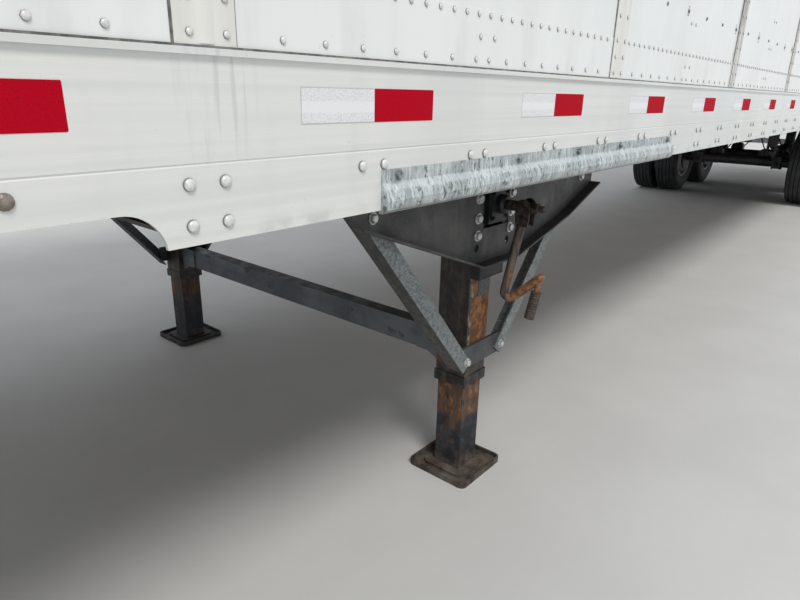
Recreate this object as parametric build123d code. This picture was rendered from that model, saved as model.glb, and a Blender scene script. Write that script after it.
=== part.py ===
from build123d import *
from math import radians, tan
import os

# A 53 foot dry van semi trailer, parked on its landing legs and a sliding tandem
# with dual wheels.  Millimetres.  +X is the front of the trailer, +Y its left side
# and +Z up.  The origin is on the ground, at the middle of the length and width.

# Body
LENGTH = 16154
HEIGHT = 4115
COUPLING_OUT = 40          # how far the front couplings and lamps may stand out
FRONT = LENGTH / 2 - COUPLING_OUT
REAR = -LENGTH / 2
TOP_RAIL_LOW = HEIGHT - 155
ROOF_SEAT = HEIGHT - 9     # top of the roof flanges, under the roof sheet
RAIL_OUT = 1294            # outer face of the side rails, from the middle
RAIL_THICK = 6
RAIL_BOTTOM = 1112
RAIL_TOP = 1348
LIP_OUT = 6                # how far the top lip of the rail stands out
LIP_HIGH = 8
GROOVE_Z = 1213            # fine groove along the middle of the rail
WALL_THICK = 40
SKIN_STEP = 3              # how far the joint strips stand off the wall skin
FLOOR_BOTTOM = 1219
FLOOR_TOP = 1254
CROSS_BOTTOM = 1117
CROSS_PITCH = 307.5
CROSS_WIDE = 57
LEG_X = FRONT - 3567       # middle of the landing legs
CROSS_FIRST = LEG_X + 1496.5
KINGPIN_X = FRONT - 874
COUPLER_LONG = 1887        # from the front of the trailer to the end of the plate
COUPLER_BEAMS = (1837, 1537, 1237, 957, 817, 537, 287, 77)
SEAM_PITCH = 1264.2
SEAM_FIRST = LEG_X + 1215
STRIP_WIDE = 85
SHALLOW_BOTTOM = 1162      # lower edge of the rail ahead of its notch
NOTCH_X = LEG_X + 1307
NOTCH_Z = 1105
NOTCH_R = 57
COUPLER_BOTTOM = 1153
ROOF_SHEET = 4
BOW_HIGH = 38

# Rear frame and doors
FRAME_DEEP = 100
POST_IN = RAIL_OUT - 66
HEADER_BOTTOM = HEIGHT - 160
DOOR_THICK = 30
DOOR_GAP = 6               # between a door and the frame round it
DOOR_MIDDLE_GAP = 10
PIN_BACK = 48              # hinge pin behind the outer face of the doors
PIN_Y = RAIL_OUT - 4
PIN_R = 6
KNUCKLE_R = 11
HINGE_COUNT = 5
HINGE_LOW = 1480
HINGE_TOP = HEADER_BOTTOM - 175
LEAF_HIGH = 70
BUTT_HIGH = 24
HINGE_GAP = 5
ROD_OFF = 29               # lock rod centre behind the door face
ROD_R = 13.5

# Landing gear
LEG_Y = RAIL_OUT - 394
LEG_SQUARE = 120
LEG_WALL = 6
LEG_FIT = 1                # gap round the inner leg in its outer tube
LEG_LOW = 350
LEG_HIGH = 1030
COLLAR_SQUARE = LEG_SQUARE + 8
COLLAR_TOP = 388
INNER_SQUARE = LEG_SQUARE - 2 * (LEG_WALL + LEG_FIT)
SHOE_SQUARE = 246
SHOE_THICK = 8
SHOE_RIM = 22
LEG_OUT = LEG_Y + LEG_SQUARE / 2
WING_Y = LEG_OUT + 34
WING_THICK = 6
BRACE_Y = LEG_OUT + 10
BRACE_WIDE = 50            # flat side of the brace angle
BRACE_DEEP = 60            # side that points inwards
BRACE_THICK = 6
BRACE_ANGLE = 50
# Lower end of the front and rear brace, ahead of the leg and above the ground
BRACE_ENDS = {1: (LEG_SQUARE / 2 + 14, 437), -1: (-LEG_SQUARE / 2 - 56, 441)}
STRAP_LOW = 431
STRAP_HIGH = 506
SHAFT_R = 16
SHAFT_OUT = 130            # how far the crank shaft stands out of the gearbox
SHAFT_Z = 984
CRANK_R = 14
CRANK_BEND = 18
CRANK_PIN_R = 9
# Corners of the crank: to the front of the leg, out of the gearbox, height
CRANK_PATH = [(0, 92, SHAFT_Z), (0, 34, 658), (-30, 148, 766), (-3, 136, 636)]
GRIP_R = 16.5
GEARBOX_OUT = 16           # how far the left gearbox stands out of its bracket plate

# Tandem
AXLES = {"front": REAR + 4497, "rear": REAR + 3252}
TYRE_R = 508
TYRE_WIDE = 280
DUAL_SPACING = 330
DUAL_Y = RAIL_OUT + 1 - (TYRE_WIDE + DUAL_SPACING) / 2     # where the rims of a pair meet
RIM_R = 286
AXLE_R = 63.5
HUB_FACE = DUAL_Y - 300    # inner end of the turning hub and drum
BEARING_GAP = 0.6          # between hub and spindle
SHIELD_GAP = 5             # between drum and dust shield
SPINDLE_R = 40
SPINDLE_END = DUAL_Y + 150
SPRING_Y = 495
SPRING_WIDE = 76
SPRING_END = TYRE_R + 237  # underside of the spring ends
SPRING_THIN = 22
BOGIE_Z = SPRING_END + 155
BOGIE_TOP = 1040
BOGIE_FRONT = REAR + 5237
BOGIE_REAR = REAR + 2517
HANGERS = (REAR + 5117, REAR + 3875, REAR + 2632)
SLIDER_WIDE = 100
CHEEK = 11                 # thickness of a hanger's two cheeks
SLIDER_FRONT = REAR + 5877
SLIDER_REAR = REAR + 177
TANK_X = REAR + 5587
CHAMBER_Y = 308
CHAMBER_BACK = 240         # from an axle to the rear face of its brake chambers
CHAMBER_UP = 80            # centre of the chambers above the axle
HOSE_R = 8
HOSE_BEND = 50
HOSE_IN = 120              # where the hoses leave the cross beams, from the middle
# Corners of a hose: ahead of the cross beam, share of the way out, below its start
HOSE_ROUTE = [
    (0, 0, 0), (60, 0, 0), (115, 0.05, 35), (140, 0.15, 98), (147, 0.3, 168), (141, 0.45, 238),
    (152, 0.65, 306), (188, 0.85, 354), (242, 1, 369), (291, 1, 352), (341, 1, 352)]
HOLE_PITCH = 152.4
HOLE_COUNT = 16
HOLE_Z = 1078
HOLE_R = 17

# Derived planes
FLANGE_LOW = ROOF_SEAT - 6
SKIN = RAIL_OUT - RAIL_THICK
WALL_IN = SKIN - WALL_THICK
FRONT_IN = FRONT - WALL_THICK
DOOR_FACE = REAR + PIN_BACK + KNUCKLE_R
DOOR_IN = DOOR_FACE + DOOR_THICK
FRAME_FRONT = DOOR_FACE + FRAME_DEEP
SLIDER_IN = SPRING_Y - SLIDER_WIDE / 2
SLIDER_OUT = SPRING_Y + SLIDER_WIDE / 2
AXLE_Z = TYRE_R
HINGE_ZS = [HINGE_LOW + (HINGE_TOP - HINGE_LOW) * i / (HINGE_COUNT - 1) for i in range(HINGE_COUNT)]
CROSS_COUNT = int((CROSS_FIRST - CROSS_WIDE / 2 - FRAME_FRONT) / CROSS_PITCH) + 1
CROSS_XS = [CROSS_FIRST - CROSS_PITCH * i for i in range(CROSS_COUNT)]


def box(x0, x1, y0, y1, z0, z1):
    """A block between two corners."""
    middle = Pos((x0 + x1) / 2, (y0 + y1) / 2, (z0 + z1) / 2)
    return middle * Box(abs(x1 - x0), abs(y1 - y0), abs(z1 - z0))


def rod(start, end, radius, hole=0):
    """A round bar, or a tube when a hole radius is given."""
    a, b = Vector(start), Vector(end)
    plane = Plane(origin=a, z_dir=b - a)
    ring = Circle(radius) - Circle(hole) if hole else Circle(radius)
    return extrude(plane * ring, (b - a).length)


def outline_face(points):
    """A face from corners that run round it either way."""
    pairs = zip(points, points[1:] + points[:1])
    area = sum(a[0] * b[1] - b[0] * a[1] for a, b in pairs)
    return Polygon(*(points if area > 0 else points[::-1]), align=None)


def prism_x(points, x0, x1):
    """A (y, z) outline pulled along X."""
    return extrude(Plane.YZ.offset(x0) * outline_face(points), x1 - x0)


def prism_y(points, y0, y1):
    """An (x, z) outline pulled along Y."""
    plane = Plane(origin=(0, max(y0, y1), 0), x_dir=(1, 0, 0), z_dir=(0, -1, 0))
    return extrude(plane * outline_face(points), abs(y1 - y0))


def prism_xy(points, z0, z1):
    """An (x, y) outline pulled along Z."""
    return extrude(Plane.XY.offset(z0) * outline_face(points), z1 - z0)


def turned_y(points, x, z):
    """An (along Y, radius) outline turned about the line through x and z."""
    return Pos(x, 0, z) * revolve(outline_face([(r, y) for y, r in points]), Axis.Y)


def mirrored(shape):
    """The same shape on the other side of the trailer."""
    return mirror(shape, about=Plane.XZ)


def both(shape):
    return [shape, mirrored(shape)]


def save(name, *shapes):
    """Writes the solids of one node."""
    solids = [s for shape in shapes for s in shape.solids()]
    whole = solids[0] if len(solids) == 1 else Compound(children=solids)
    whole.label = name
    export_step(whole, "parts/" + name + ".step")


def side_rail():
    ledge_in = WALL_IN - 2
    outline = [
        (SKIN, RAIL_BOTTOM), (RAIL_OUT, RAIL_BOTTOM),
        (RAIL_OUT, GROOVE_Z - 2), (RAIL_OUT - 1.5, GROOVE_Z), (RAIL_OUT, GROOVE_Z + 2),
        (RAIL_OUT, RAIL_TOP - LIP_HIGH), (RAIL_OUT + LIP_OUT, RAIL_TOP - LIP_HIGH),
        (RAIL_OUT + LIP_OUT, RAIL_TOP), (SKIN, RAIL_TOP),
        (SKIN, FLOOR_TOP), (ledge_in, FLOOR_TOP), (ledge_in, FLOOR_BOTTOM),
        (SKIN, FLOOR_BOTTOM)]
    rail = prism_x(outline, FRAME_FRONT, FRONT_IN)
    ahead = box(NOTCH_X, FRONT, SKIN - 1, RAIL_OUT + 1, RAIL_BOTTOM - 1, SHALLOW_BOTTOM)
    notch = rod((NOTCH_X, SKIN - 1, NOTCH_Z), (NOTCH_X, RAIL_OUT + 1, NOTCH_Z), NOTCH_R)
    return rail - ahead - notch


def side_wall():
    wall = box(FRAME_FRONT, FRONT_IN, WALL_IN, SKIN, FLOOR_TOP, FLANGE_LOW)
    seam = SEAM_FIRST + SEAM_PITCH
    while seam - STRIP_WIDE > FRAME_FRONT:
        wall += box(seam - STRIP_WIDE, seam, SKIN, SKIN + SKIN_STEP, RAIL_TOP, TOP_RAIL_LOW)
        seam -= SEAM_PITCH
    return wall


def top_rail():
    outline = [
        (SKIN, TOP_RAIL_LOW), (RAIL_OUT, TOP_RAIL_LOW), (RAIL_OUT, HEIGHT), (SKIN, HEIGHT),
        (SKIN, ROOF_SEAT), (POST_IN, ROOF_SEAT), (POST_IN, FLANGE_LOW), (SKIN, FLANGE_LOW)]
    return prism_x(outline, FRAME_FRONT, FRONT_IN)


def roof():
    return box(FRAME_FRONT, FRONT_IN, -SKIN, SKIN, ROOF_SEAT, ROOF_SEAT + ROOF_SHEET)


def roof_bows():
    bows = []
    x = FRONT_IN - 300
    while x > FRAME_FRONT + 200:
        bows.append(box(x - 30, x + 30, -POST_IN, POST_IN, ROOF_SEAT - BOW_HIGH, ROOF_SEAT))
        x -= 2 * CROSS_PITCH
    return bows


def front_wall():
    wall = box(FRONT_IN, FRONT, -RAIL_OUT, RAIL_OUT, COUPLER_BOTTOM, HEIGHT)
    edges = wall.edges().filter_by(Axis.Z).group_by(Axis.X)[-1]
    return fillet(edges, WALL_THICK - 4)


def floor():
    edge = WALL_IN - 2
    return box(FRAME_FRONT, FRONT_IN, -edge, edge, FLOOR_BOTTOM, FLOOR_TOP)


def crossmember(x):
    web, thick = 6, 6
    a, b, low, high = CROSS_WIDE / 2, web / 2, CROSS_BOTTOM, FLOOR_BOTTOM
    outline = [
        (x - a, low), (x + a, low), (x + a, low + thick), (x + b, low + thick),
        (x + b, high - thick), (x + a, high - thick), (x + a, high), (x - a, high),
        (x - a, high - thick), (x - b, high - thick), (x - b, low + thick), (x - a, low + thick)]
    return prism_y(outline, -SKIN, SKIN)


def upper_coupler():
    plate_top = COUPLER_BOTTOM + 10
    plate = box(FRONT - COUPLER_LONG, FRONT_IN, -SKIN, SKIN, COUPLER_BOTTOM, plate_top)
    for back in COUPLER_BEAMS:
        plate += box(FRONT - back, FRONT - back + 30, -SKIN, SKIN, plate_top, FLOOR_BOTTOM)
    return plate


def kingpin():
    steps = [  # radius, from, to
        (36.5, COUPLER_BOTTOM, COUPLER_BOTTOM - 35),
        (25.4, COUPLER_BOTTOM - 35, COUPLER_BOTTOM - 70),
        (35.5, COUPLER_BOTTOM - 70, COUPLER_BOTTOM - 84)]
    pin = None
    for radius, top, low in steps:
        step = rod((KINGPIN_X, 0, low), (KINGPIN_X, 0, top), radius)
        pin = step if pin is None else pin + step
    return pin


def rear_frame():
    frame = box(DOOR_FACE, FRAME_FRONT, -RAIL_OUT, RAIL_OUT, RAIL_BOTTOM, HEIGHT)
    return frame - box(DOOR_FACE - 1, FRAME_FRONT + 1, -POST_IN, POST_IN, FLOOR_TOP, HEADER_BOTTOM)


def hinge_butts():
    """Fixed halves of the door hinges, with their pins, on the left post."""
    butts = []
    for z in HINGE_ZS:
        low, high = z - LEAF_HIGH / 2 - HINGE_GAP, z + LEAF_HIGH / 2 + HINGE_GAP
        pin_x = DOOR_FACE - PIN_BACK
        butt = rod((pin_x, PIN_Y, low - BUTT_HIGH), (pin_x, PIN_Y, high + BUTT_HIGH), PIN_R)
        for z0 in (low - BUTT_HIGH, high):
            butt += rod((pin_x, PIN_Y, z0), (pin_x, PIN_Y, z0 + BUTT_HIGH), KNUCKLE_R)
            butt += box(pin_x, DOOR_FACE, PIN_Y - 40, PIN_Y + 4, z0, z0 + BUTT_HIGH)
        butts.append(butt)
    return butts


def door():
    """The left door with its hinge leaves, ribs and rod guides."""
    panel = box(DOOR_FACE, DOOR_IN, DOOR_MIDDLE_GAP / 2, POST_IN - DOOR_GAP,
                FLOOR_TOP + DOOR_GAP, HEADER_BOTTOM - DOOR_GAP)
    pin_x = DOOR_FACE - PIN_BACK
    for z in HINGE_ZS:
        low, high = z - LEAF_HIGH / 2, z + LEAF_HIGH / 2
        edge = POST_IN - 13
        leaf = box(DOOR_FACE - 8, DOOR_FACE, edge - 175, edge, low, high)
        leaf += prism_xy([(DOOR_FACE - 8, edge), (DOOR_FACE, edge), (pin_x + 9, PIN_Y),
                          (pin_x - 1, PIN_Y - 9)], low, high)
        leaf += rod((pin_x, PIN_Y, low), (pin_x, PIN_Y, high), KNUCKLE_R)
        panel += leaf - rod((pin_x, PIN_Y, low - 1), (pin_x, PIN_Y, high + 1), PIN_R + 0.5)
    return panel


def lock_rods():
    """Two lock rods of the left door, each with its guides, cams and handle."""
    rods = []
    rod_x = DOOR_FACE - ROD_OFF
    guide_low, guide_top = HINGE_LOW - 80, HINGE_TOP + 70
    for y, handle_z in ((230, 1800), (POST_IN - 348, 1950)):
        bar = rod((rod_x, y, FLOOR_TOP - 40), (rod_x, y, HEADER_BOTTOM + 40), ROD_R)
        for i in range(HINGE_COUNT):
            z = guide_low + (guide_top - guide_low) * i / (HINGE_COUNT - 1)
            bar += box(rod_x - 17, DOOR_FACE, y - 17, y + 17, z - 22, z + 22)
        for z in (FLOOR_TOP - 40, HEADER_BOTTOM + 12):
            bar += box(rod_x - 16, rod_x + 16, y - 18, y + 30, z, z + 28)
        bar += box(rod_x - 18, rod_x - 8, y - 20, y + 330, handle_z - 14, handle_z + 14)
        bar += box(rod_x - 8, DOOR_FACE, y + 270, y + 310, handle_z - 30, handle_z + 30)
        rods.append(bar)
    return rods


def rail_guard():
    """Galvanised guard along the left rail above the landing leg."""
    outline = [
        (RAIL_OUT, 1180), (RAIL_OUT + 3, 1180), (RAIL_OUT + 3, 1158), (RAIL_OUT + 13, 1142),
        (RAIL_OUT + 16, 1128), (RAIL_OUT + 12, 1112), (RAIL_OUT + 4, 1106), (RAIL_OUT - 4, 1106),
        (RAIL_OUT - 4, RAIL_BOTTOM), (RAIL_OUT, RAIL_BOTTOM)]
    return prism_x(outline, LEG_X - 640, LEG_X + 862)


def leg(gearbox_out):
    """Outer tube of the left landing leg with collar, gearbox and its brackets."""
    half, out = LEG_SQUARE / 2, LEG_OUT
    x = LEG_X
    tube = box(x - half, x + half, LEG_Y - half, out, COLLAR_TOP, LEG_HIGH)
    hole = half - LEG_WALL
    tube -= box(x - hole, x + hole, LEG_Y - hole, LEG_Y + hole, COLLAR_TOP - 1, LEG_HIGH - LEG_WALL)
    big, fit = COLLAR_SQUARE / 2, INNER_SQUARE / 2
    collar = box(x - big, x + big, LEG_Y - big, LEG_Y + big, LEG_LOW, COLLAR_TOP)
    collar -= box(x - fit, x + fit, LEG_Y - fit, LEG_Y + fit, LEG_LOW - 1, COLLAR_TOP + 1)
    mount = box(x - half - 20, x + half, out, WING_Y, 742, 905)
    for side in (-1, 1):
        mount += box(x + side * half, x + side * 125, WING_Y - 8, WING_Y, 850, 1045)
        mount += box(x + side * (half - 8), x + side * half, out, WING_Y, 850, LEG_HIGH)
    gearbox = box(x - 54, x + 54, out, WING_Y + gearbox_out, 925, LEG_HIGH + 5)
    return tube + collar + mount + gearbox


def inner_leg():
    fit = INNER_SQUARE / 2
    x = LEG_X
    tube = box(x - fit, x + fit, LEG_Y - fit, LEG_Y + fit, SHOE_THICK + 10, LEG_HIGH - 130)
    wall = fit - LEG_WALL
    return tube - box(x - wall, x + wall, LEG_Y - wall, LEG_Y + wall, 40, LEG_HIGH)


def sand_shoe():
    """Pressed foot plate: a dish with a turned up rim."""
    at = Pos(LEG_X, LEG_Y, 0)
    wide, corner = SHOE_SQUARE, 22
    rim = extrude(RectangleRounded(wide, wide, corner), SHOE_RIM)
    dish = RectangleRounded(wide - 14, wide - 14, corner - 7)
    rim -= Pos(0, 0, SHOE_THICK) * extrude(dish, SHOE_RIM)
    raised = extrude(RectangleRounded(wide - 70, wide - 70, 30), SHOE_THICK + 10)
    return at * (rim + raised)


def strap():
    """Plate on the outer face of the left leg that carries both braces."""
    return box(LEG_X - LEG_SQUARE / 2 - 70, LEG_X + LEG_SQUARE / 2 + 32, LEG_OUT, BRACE_Y,
               STRAP_LOW, STRAP_HIGH)


def brace(side):
    """An angle from the strap up to a plate under the crossmembers, to the front or rear."""
    long, half = 1000, BRACE_WIDE / 2
    inner, outer = BRACE_THICK - BRACE_DEEP, BRACE_THICK
    bar = box(0, long, 0, outer, -half, half)
    bar += box(0, long, inner, outer, -half, BRACE_THICK - half)
    bar = bar.rotate(Axis.Y, -BRACE_ANGLE)
    if side < 0:
        bar = mirror(bar, about=Plane.YZ)
    ahead, z = BRACE_ENDS[side]
    bar = Pos(LEG_X + ahead, BRACE_Y, z) * bar
    tie_low = CROSS_BOTTOM - 8
    bar -= box(LEG_X - long, LEG_X + long, LEG_Y - 200, LEG_Y + 300, tie_low, 2 * long)
    top = LEG_X + ahead + side * (CROSS_BOTTOM - z) / tan(radians(BRACE_ANGLE))
    member = min(CROSS_XS, key=lambda x: abs(x - top))
    x0, x1 = sorted([member - side * CROSS_WIDE / 2, top + side * 36])
    return bar + box(x0, x1, BRACE_Y + inner, BRACE_Y + outer, tie_low, CROSS_BOTTOM)


def wing():
    """Bracket plate of the left leg with its turned out lower flange."""
    x = LEG_X
    front, rear = x + 635, x - 700
    lower = [(rear, 982), (x - 450, 886), (x - 105, 800), (x + 105, 800), (front, 998)]
    outline = lower + [(front, CROSS_BOTTOM), (rear, CROSS_BOTTOM)]
    above = lower + [(front, CROSS_BOTTOM + 100), (rear, CROSS_BOTTOM + 100)]
    face = WING_Y + WING_THICK
    flange = prism_y(outline, face, WING_Y + 45)
    flange -= Pos(0, 0, WING_THICK) * prism_y(above, face - 1, WING_Y + 46)
    plate = prism_y(outline, WING_Y, face) + flange
    plate -= box(x - 80, x + 72, WING_Y - 1, WING_Y + 46, 912, LEG_HIGH + 12)
    for at in (x - 78, x + 98):
        plate -= rod((at, WING_Y - 1, 856), (at, face + 1, 856), 12)
    return plate


def cross_channel():
    x, y = LEG_X, LEG_Y - LEG_SQUARE / 2
    channel = box(x + 24, x + 30, -y, y, 430, 520)
    channel += box(x - 30, x + 24, -y, y, 430, 436) + box(x - 30, x + 24, -y, y, 514, 520)
    for side in (-1, 1):
        channel += prism_x([
            (side * y, 400), (side * y, 550), (side * (y - 60), 520), (side * (y - 110), 520),
            (side * (y - 110), 430), (side * (y - 60), 430)], x + 30, x + 36)
    return channel


def bent_bar(points, radius, bend):
    """A round bar along straight runs with rounded corners."""
    path = FilletPolyline(*points, radius=bend)
    return sweep(Plane(origin=path @ 0, z_dir=path % 0) * Circle(radius), path=path)


def crank_point(number):
    """A corner of the crank's path."""
    across, out, z = CRANK_PATH[number]
    return Vector(LEG_X + across, WING_Y + GEARBOX_OUT + out, z)


def crank():
    """Crank shaft out of the gearbox, with the bent arm that hangs from it."""
    points = [crank_point(i) for i in range(len(CRANK_PATH))]
    start = WING_Y + GEARBOX_OUT
    shaft = rod((LEG_X, start, SHAFT_Z), (LEG_X, start + SHAFT_OUT, SHAFT_Z), SHAFT_R)
    arm = bent_bar(points[:3], CRANK_R, CRANK_BEND)
    end = Pos(*points[2]) * Sphere(CRANK_R)
    return shaft + arm + end + rod(points[2], points[3], CRANK_PIN_R)


def crank_grip():
    """Sleeve on the pin at the end of the crank."""
    last, end = crank_point(-2), crank_point(-1)
    start = last + (end - last) * 0.32
    return rod(start, end, GRIP_R, CRANK_PIN_R)


def slider_rail():
    """Body rail of the sliding tandem, with its row of locking holes."""
    top, low, thick = CROSS_BOTTOM, BOGIE_TOP, 6
    outline = [
        (SLIDER_OUT, low), (SLIDER_OUT, top), (SLIDER_IN, top), (SLIDER_IN, top - thick),
        (SLIDER_OUT - thick, top - thick), (SLIDER_OUT - thick, low + thick),
        (SLIDER_IN, low + thick), (SLIDER_IN, low)]
    rail = prism_x(outline, SLIDER_REAR, SLIDER_FRONT)
    for i in range(HOLE_COUNT):
        x = HANGERS[0] - 200 - HOLE_PITCH * i
        rail -= rod((x, SLIDER_OUT - 10, HOLE_Z), (x, SLIDER_OUT + 5, HOLE_Z), HOLE_R)
    return rail


def slider_pins():
    """Locking pins, two on each side, each in a bracket on the bogie frame."""
    pins = []
    for i in (1, HOLE_COUNT - 2):
        x = HANGERS[0] - 200 - HOLE_PITCH * i
        pin = rod((x, SLIDER_IN - 60, HOLE_Z), (x, SLIDER_OUT + 14, HOLE_Z), HOLE_R - 0.5)
        pin += box(x - 30, x + 30, SLIDER_IN - 50, SLIDER_IN - 38, BOGIE_TOP - 60, HOLE_Z + 30)
        pin += box(x - 30, x + 30, SLIDER_IN - 50, SLIDER_IN, BOGIE_TOP - 60, BOGIE_TOP - 48)
        pins += both(pin)
    return pins


def bogie_frame():
    frame = None
    for side in (-1, 1):
        a, b = side * SLIDER_IN, side * SLIDER_OUT
        rail = box(BOGIE_REAR, BOGIE_FRONT, a, b, BOGIE_Z, BOGIE_TOP)
        rail -= box(BOGIE_REAR - 1, BOGIE_FRONT + 1, a - side, b - side * 8, BOGIE_Z + 8, BOGIE_TOP - 8)
        for x in HANGERS:
            low = SPRING_END - 105
            hanger = box(x - 65, x + 65, a, b, low, BOGIE_Z)
            hanger -= box(x - 66, x + 66, a + side * CHEEK, b - side * CHEEK,
                          low - 1, SPRING_END + SPRING_THIN)
            rail += hanger
        frame = rail if frame is None else frame + rail
    for x in HANGERS:
        frame += box(x - 40, x + 40, -SLIDER_OUT + 8, SLIDER_OUT - 8, BOGIE_Z, BOGIE_Z + 90)
    return frame


def spring(axle_x, front_x, rear_x):
    """One left leaf spring, a thick middle and two thin ends."""
    seat = AXLE_Z + AXLE_R + 10
    low, high = SPRING_END, SPRING_END + SPRING_THIN
    outline = [
        (front_x, low), (front_x - 60, low), (axle_x + 190, seat + 42), (axle_x + 90, seat),
        (axle_x - 90, seat), (axle_x - 190, seat + 42), (rear_x + 60, low), (rear_x, low),
        (rear_x, high), (rear_x + 60, high), (axle_x - 200, seat + 80), (axle_x, seat + 62),
        (axle_x + 200, seat + 80), (front_x - 60, high), (front_x, high)]
    half = SPRING_WIDE / 2
    return prism_y(outline, SPRING_Y - half, SPRING_Y + half)


def leaf_springs():
    leaves = []
    spans = [("front", HANGERS[0] + 20, HANGERS[1] + 30), ("rear", HANGERS[1] - 30, HANGERS[2] - 20)]
    for axle, front_x, rear_x in spans:
        leaves += both(spring(AXLES[axle], front_x, rear_x))
    return leaves


def spring_clamp(x, side):
    """Two U bolts with their top plate, round a spring and down to its seat."""
    y, high = side * SPRING_Y, AXLE_Z + AXLE_R + 10 + 69
    clamp = box(x - 75, x + 75, y - 57, y + 57, high, high + 14)
    for across in (-55, 55):
        for out in (-48, 48):
            clamp += rod((x + across, y + out, AXLE_Z - 90), (x + across, y + out, high + 30), 9)
    return clamp


def torque_arm(x, side):
    """Arm from the axle forward to its pin between the cheeks of the hanger ahead."""
    y, z = side * SPRING_Y, SPRING_END - 65
    ahead = min((h for h in HANGERS if h > x), key=lambda h: h - x)
    pin = SLIDER_WIDE / 2 - CHEEK
    arm = rod((x + 60, y, AXLE_Z - 38), (ahead, y, z), 19)
    return arm + rod((ahead, y - pin, z), (ahead, y + pin, z), 27)


def axle(x):
    """Axle tube with spring seats, clamps, torque arms, spindles and shields."""
    beam = rod((x, -HUB_FACE + 20, AXLE_Z), (x, HUB_FACE - 20, AXLE_Z), AXLE_R)
    beam += rod((x, -SPINDLE_END, AXLE_Z), (x, SPINDLE_END, AXLE_Z), SPINDLE_R)
    for side in (-1, 1):
        y = side * SPRING_Y
        beam += box(x - 90, x + 90, y - 50, y + 50, AXLE_Z, AXLE_Z + AXLE_R + 10)
        beam += box(x - 90, x + 90, y - 50, y + 50, AXLE_Z - AXLE_R - 14, AXLE_Z)
        beam += spring_clamp(x, side) + torque_arm(x, side)
        beam += box(x - 70, x, side * 300, side * 316, AXLE_Z - 20, AXLE_Z + 150)
        shield = HUB_FACE - SHIELD_GAP
        beam += rod((x, side * (shield - 15), AXLE_Z), (x, side * shield, AXLE_Z), 190)
    return beam


def brake_chamber(x):
    """A round brake chamber behind the axle on the left side."""
    start, y, z = x - 70, CHAMBER_Y, AXLE_Z + CHAMBER_UP
    body = rod((start, y, z), (start - 70, y, z), 84)
    return body + rod((start - 70, y, z), (x - CHAMBER_BACK, y, z), 76)


def tyre(x, y):
    """A tyre open towards its rim, at the middle of its width."""
    half, tread, bead = TYRE_WIDE / 2, TYRE_WIDE / 2 - 22, TYRE_WIDE / 2 - 28
    outline = [
        (y - tread, TYRE_R), (y + tread, TYRE_R), (y + half, TYRE_R - 90),
        (y + bead, RIM_R), (y + bead - 20, RIM_R),
        (y + tread - 8, TYRE_R - 50), (y - tread + 8, TYRE_R - 50), (y - bead + 20, RIM_R),
        (y - bead, RIM_R), (y - half, TYRE_R - 90)]
    return turned_y(outline, x, AXLE_Z)


def wheel(x):
    """Drum, hub, discs and both rims of a left pair, one turning solid."""
    inner, outer, d = DUAL_Y - DUAL_SPACING / 2, DUAL_Y + DUAL_SPACING / 2, DUAL_Y
    under, lip, edge, seat = RIM_R - 10, RIM_R + 12, TYRE_WIDE / 2 - 16, TYRE_WIDE / 2 - 24
    bore = SPINDLE_R + BEARING_GAP
    end = SPINDLE_END + BEARING_GAP
    outline = [
        (HUB_FACE, 196), (HUB_FACE, 212), (d - 40, 212), (d - 40, 140), (d - 14, 140),
        (d - 14, 236), (d - 64, under), (inner - edge, under), (inner - edge, lip),
        (inner - seat, RIM_R), (inner + seat, RIM_R), (inner + edge, lip), (d, RIM_R - 43),
        (outer - edge, lip), (outer - seat, RIM_R), (outer + seat, RIM_R),
        (outer + edge, lip), (outer + edge, under), (d + 64, under), (d + 14, 236),
        (d + 14, 110), (d + 160, 92), (end + 17, 70), (end + 17, 0), (end, 0), (end, bore),
        (d - 70, bore), (d - 70, 196)]
    return turned_y(outline, x, AXLE_Z)


def air_tank():
    x, z, r = TANK_X, 935, 125
    tank = rod((x, -330, z), (x, 330, z), r)
    for y in (-200, 200):
        tank += box(x - 170, x + 170, y - 20, y + 20, CROSS_BOTTOM - 8, CROSS_BOTTOM)
        tank += box(x - 60, x + 60, y - 20, y + 20, z + 100, CROSS_BOTTOM - 8)
    return tank


def air_hoses():
    """Brake hoses, each from a cross beam of the bogie down to the chamber ahead of it."""
    hoses = []
    for beam_x, axle_x in ((HANGERS[1], AXLES["front"]), (HANGERS[2], AXLES["rear"])):
        start, end = beam_x + 40, axle_x - CHAMBER_BACK
        top, low = BOGIE_Z + 40, AXLE_Z + CHAMBER_UP
        route = []
        for ahead, across, down in HOSE_ROUTE:
            x = start + ahead if ahead < 250 else end - 341 + ahead
            z = top - down if down < 300 else low + 352 - down
            route.append((x, HOSE_IN + (CHAMBER_Y - HOSE_IN) * across, z))
        hoses += both(bent_bar(route, HOSE_R, HOSE_BEND))
    return hoses


def mud_flap():
    x = BOGIE_REAR - 40
    return box(x - 6, x, DUAL_Y - 290, RAIL_OUT - 14, 260, 960)


def flap_hanger():
    x = BOGIE_REAR - 40
    bar = box(x, x + 40, SLIDER_OUT, RAIL_OUT - 14, 920, 960)
    return bar + box(x, BOGIE_REAR, SLIDER_IN, SLIDER_OUT, BOGIE_Z, BOGIE_TOP)


def rear_bumper():
    x0, x1 = DOOR_FACE, DOOR_FACE + 90
    bar = box(x0, x1, 94 - RAIL_OUT, RAIL_OUT - 94, 500, 600)
    for side in (-1, 1):
        bar += box(x0 + 10, x1 - 10, side * 480, side * 580, 600, RAIL_BOTTOM)
        bar += prism_y([(x1 - 10, 700), (x1 - 10, 800), (x1 + 250, CROSS_BOTTOM),
                        (x1 + 150, CROSS_BOTTOM)], side * 515, side * 545)
    return bar


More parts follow.
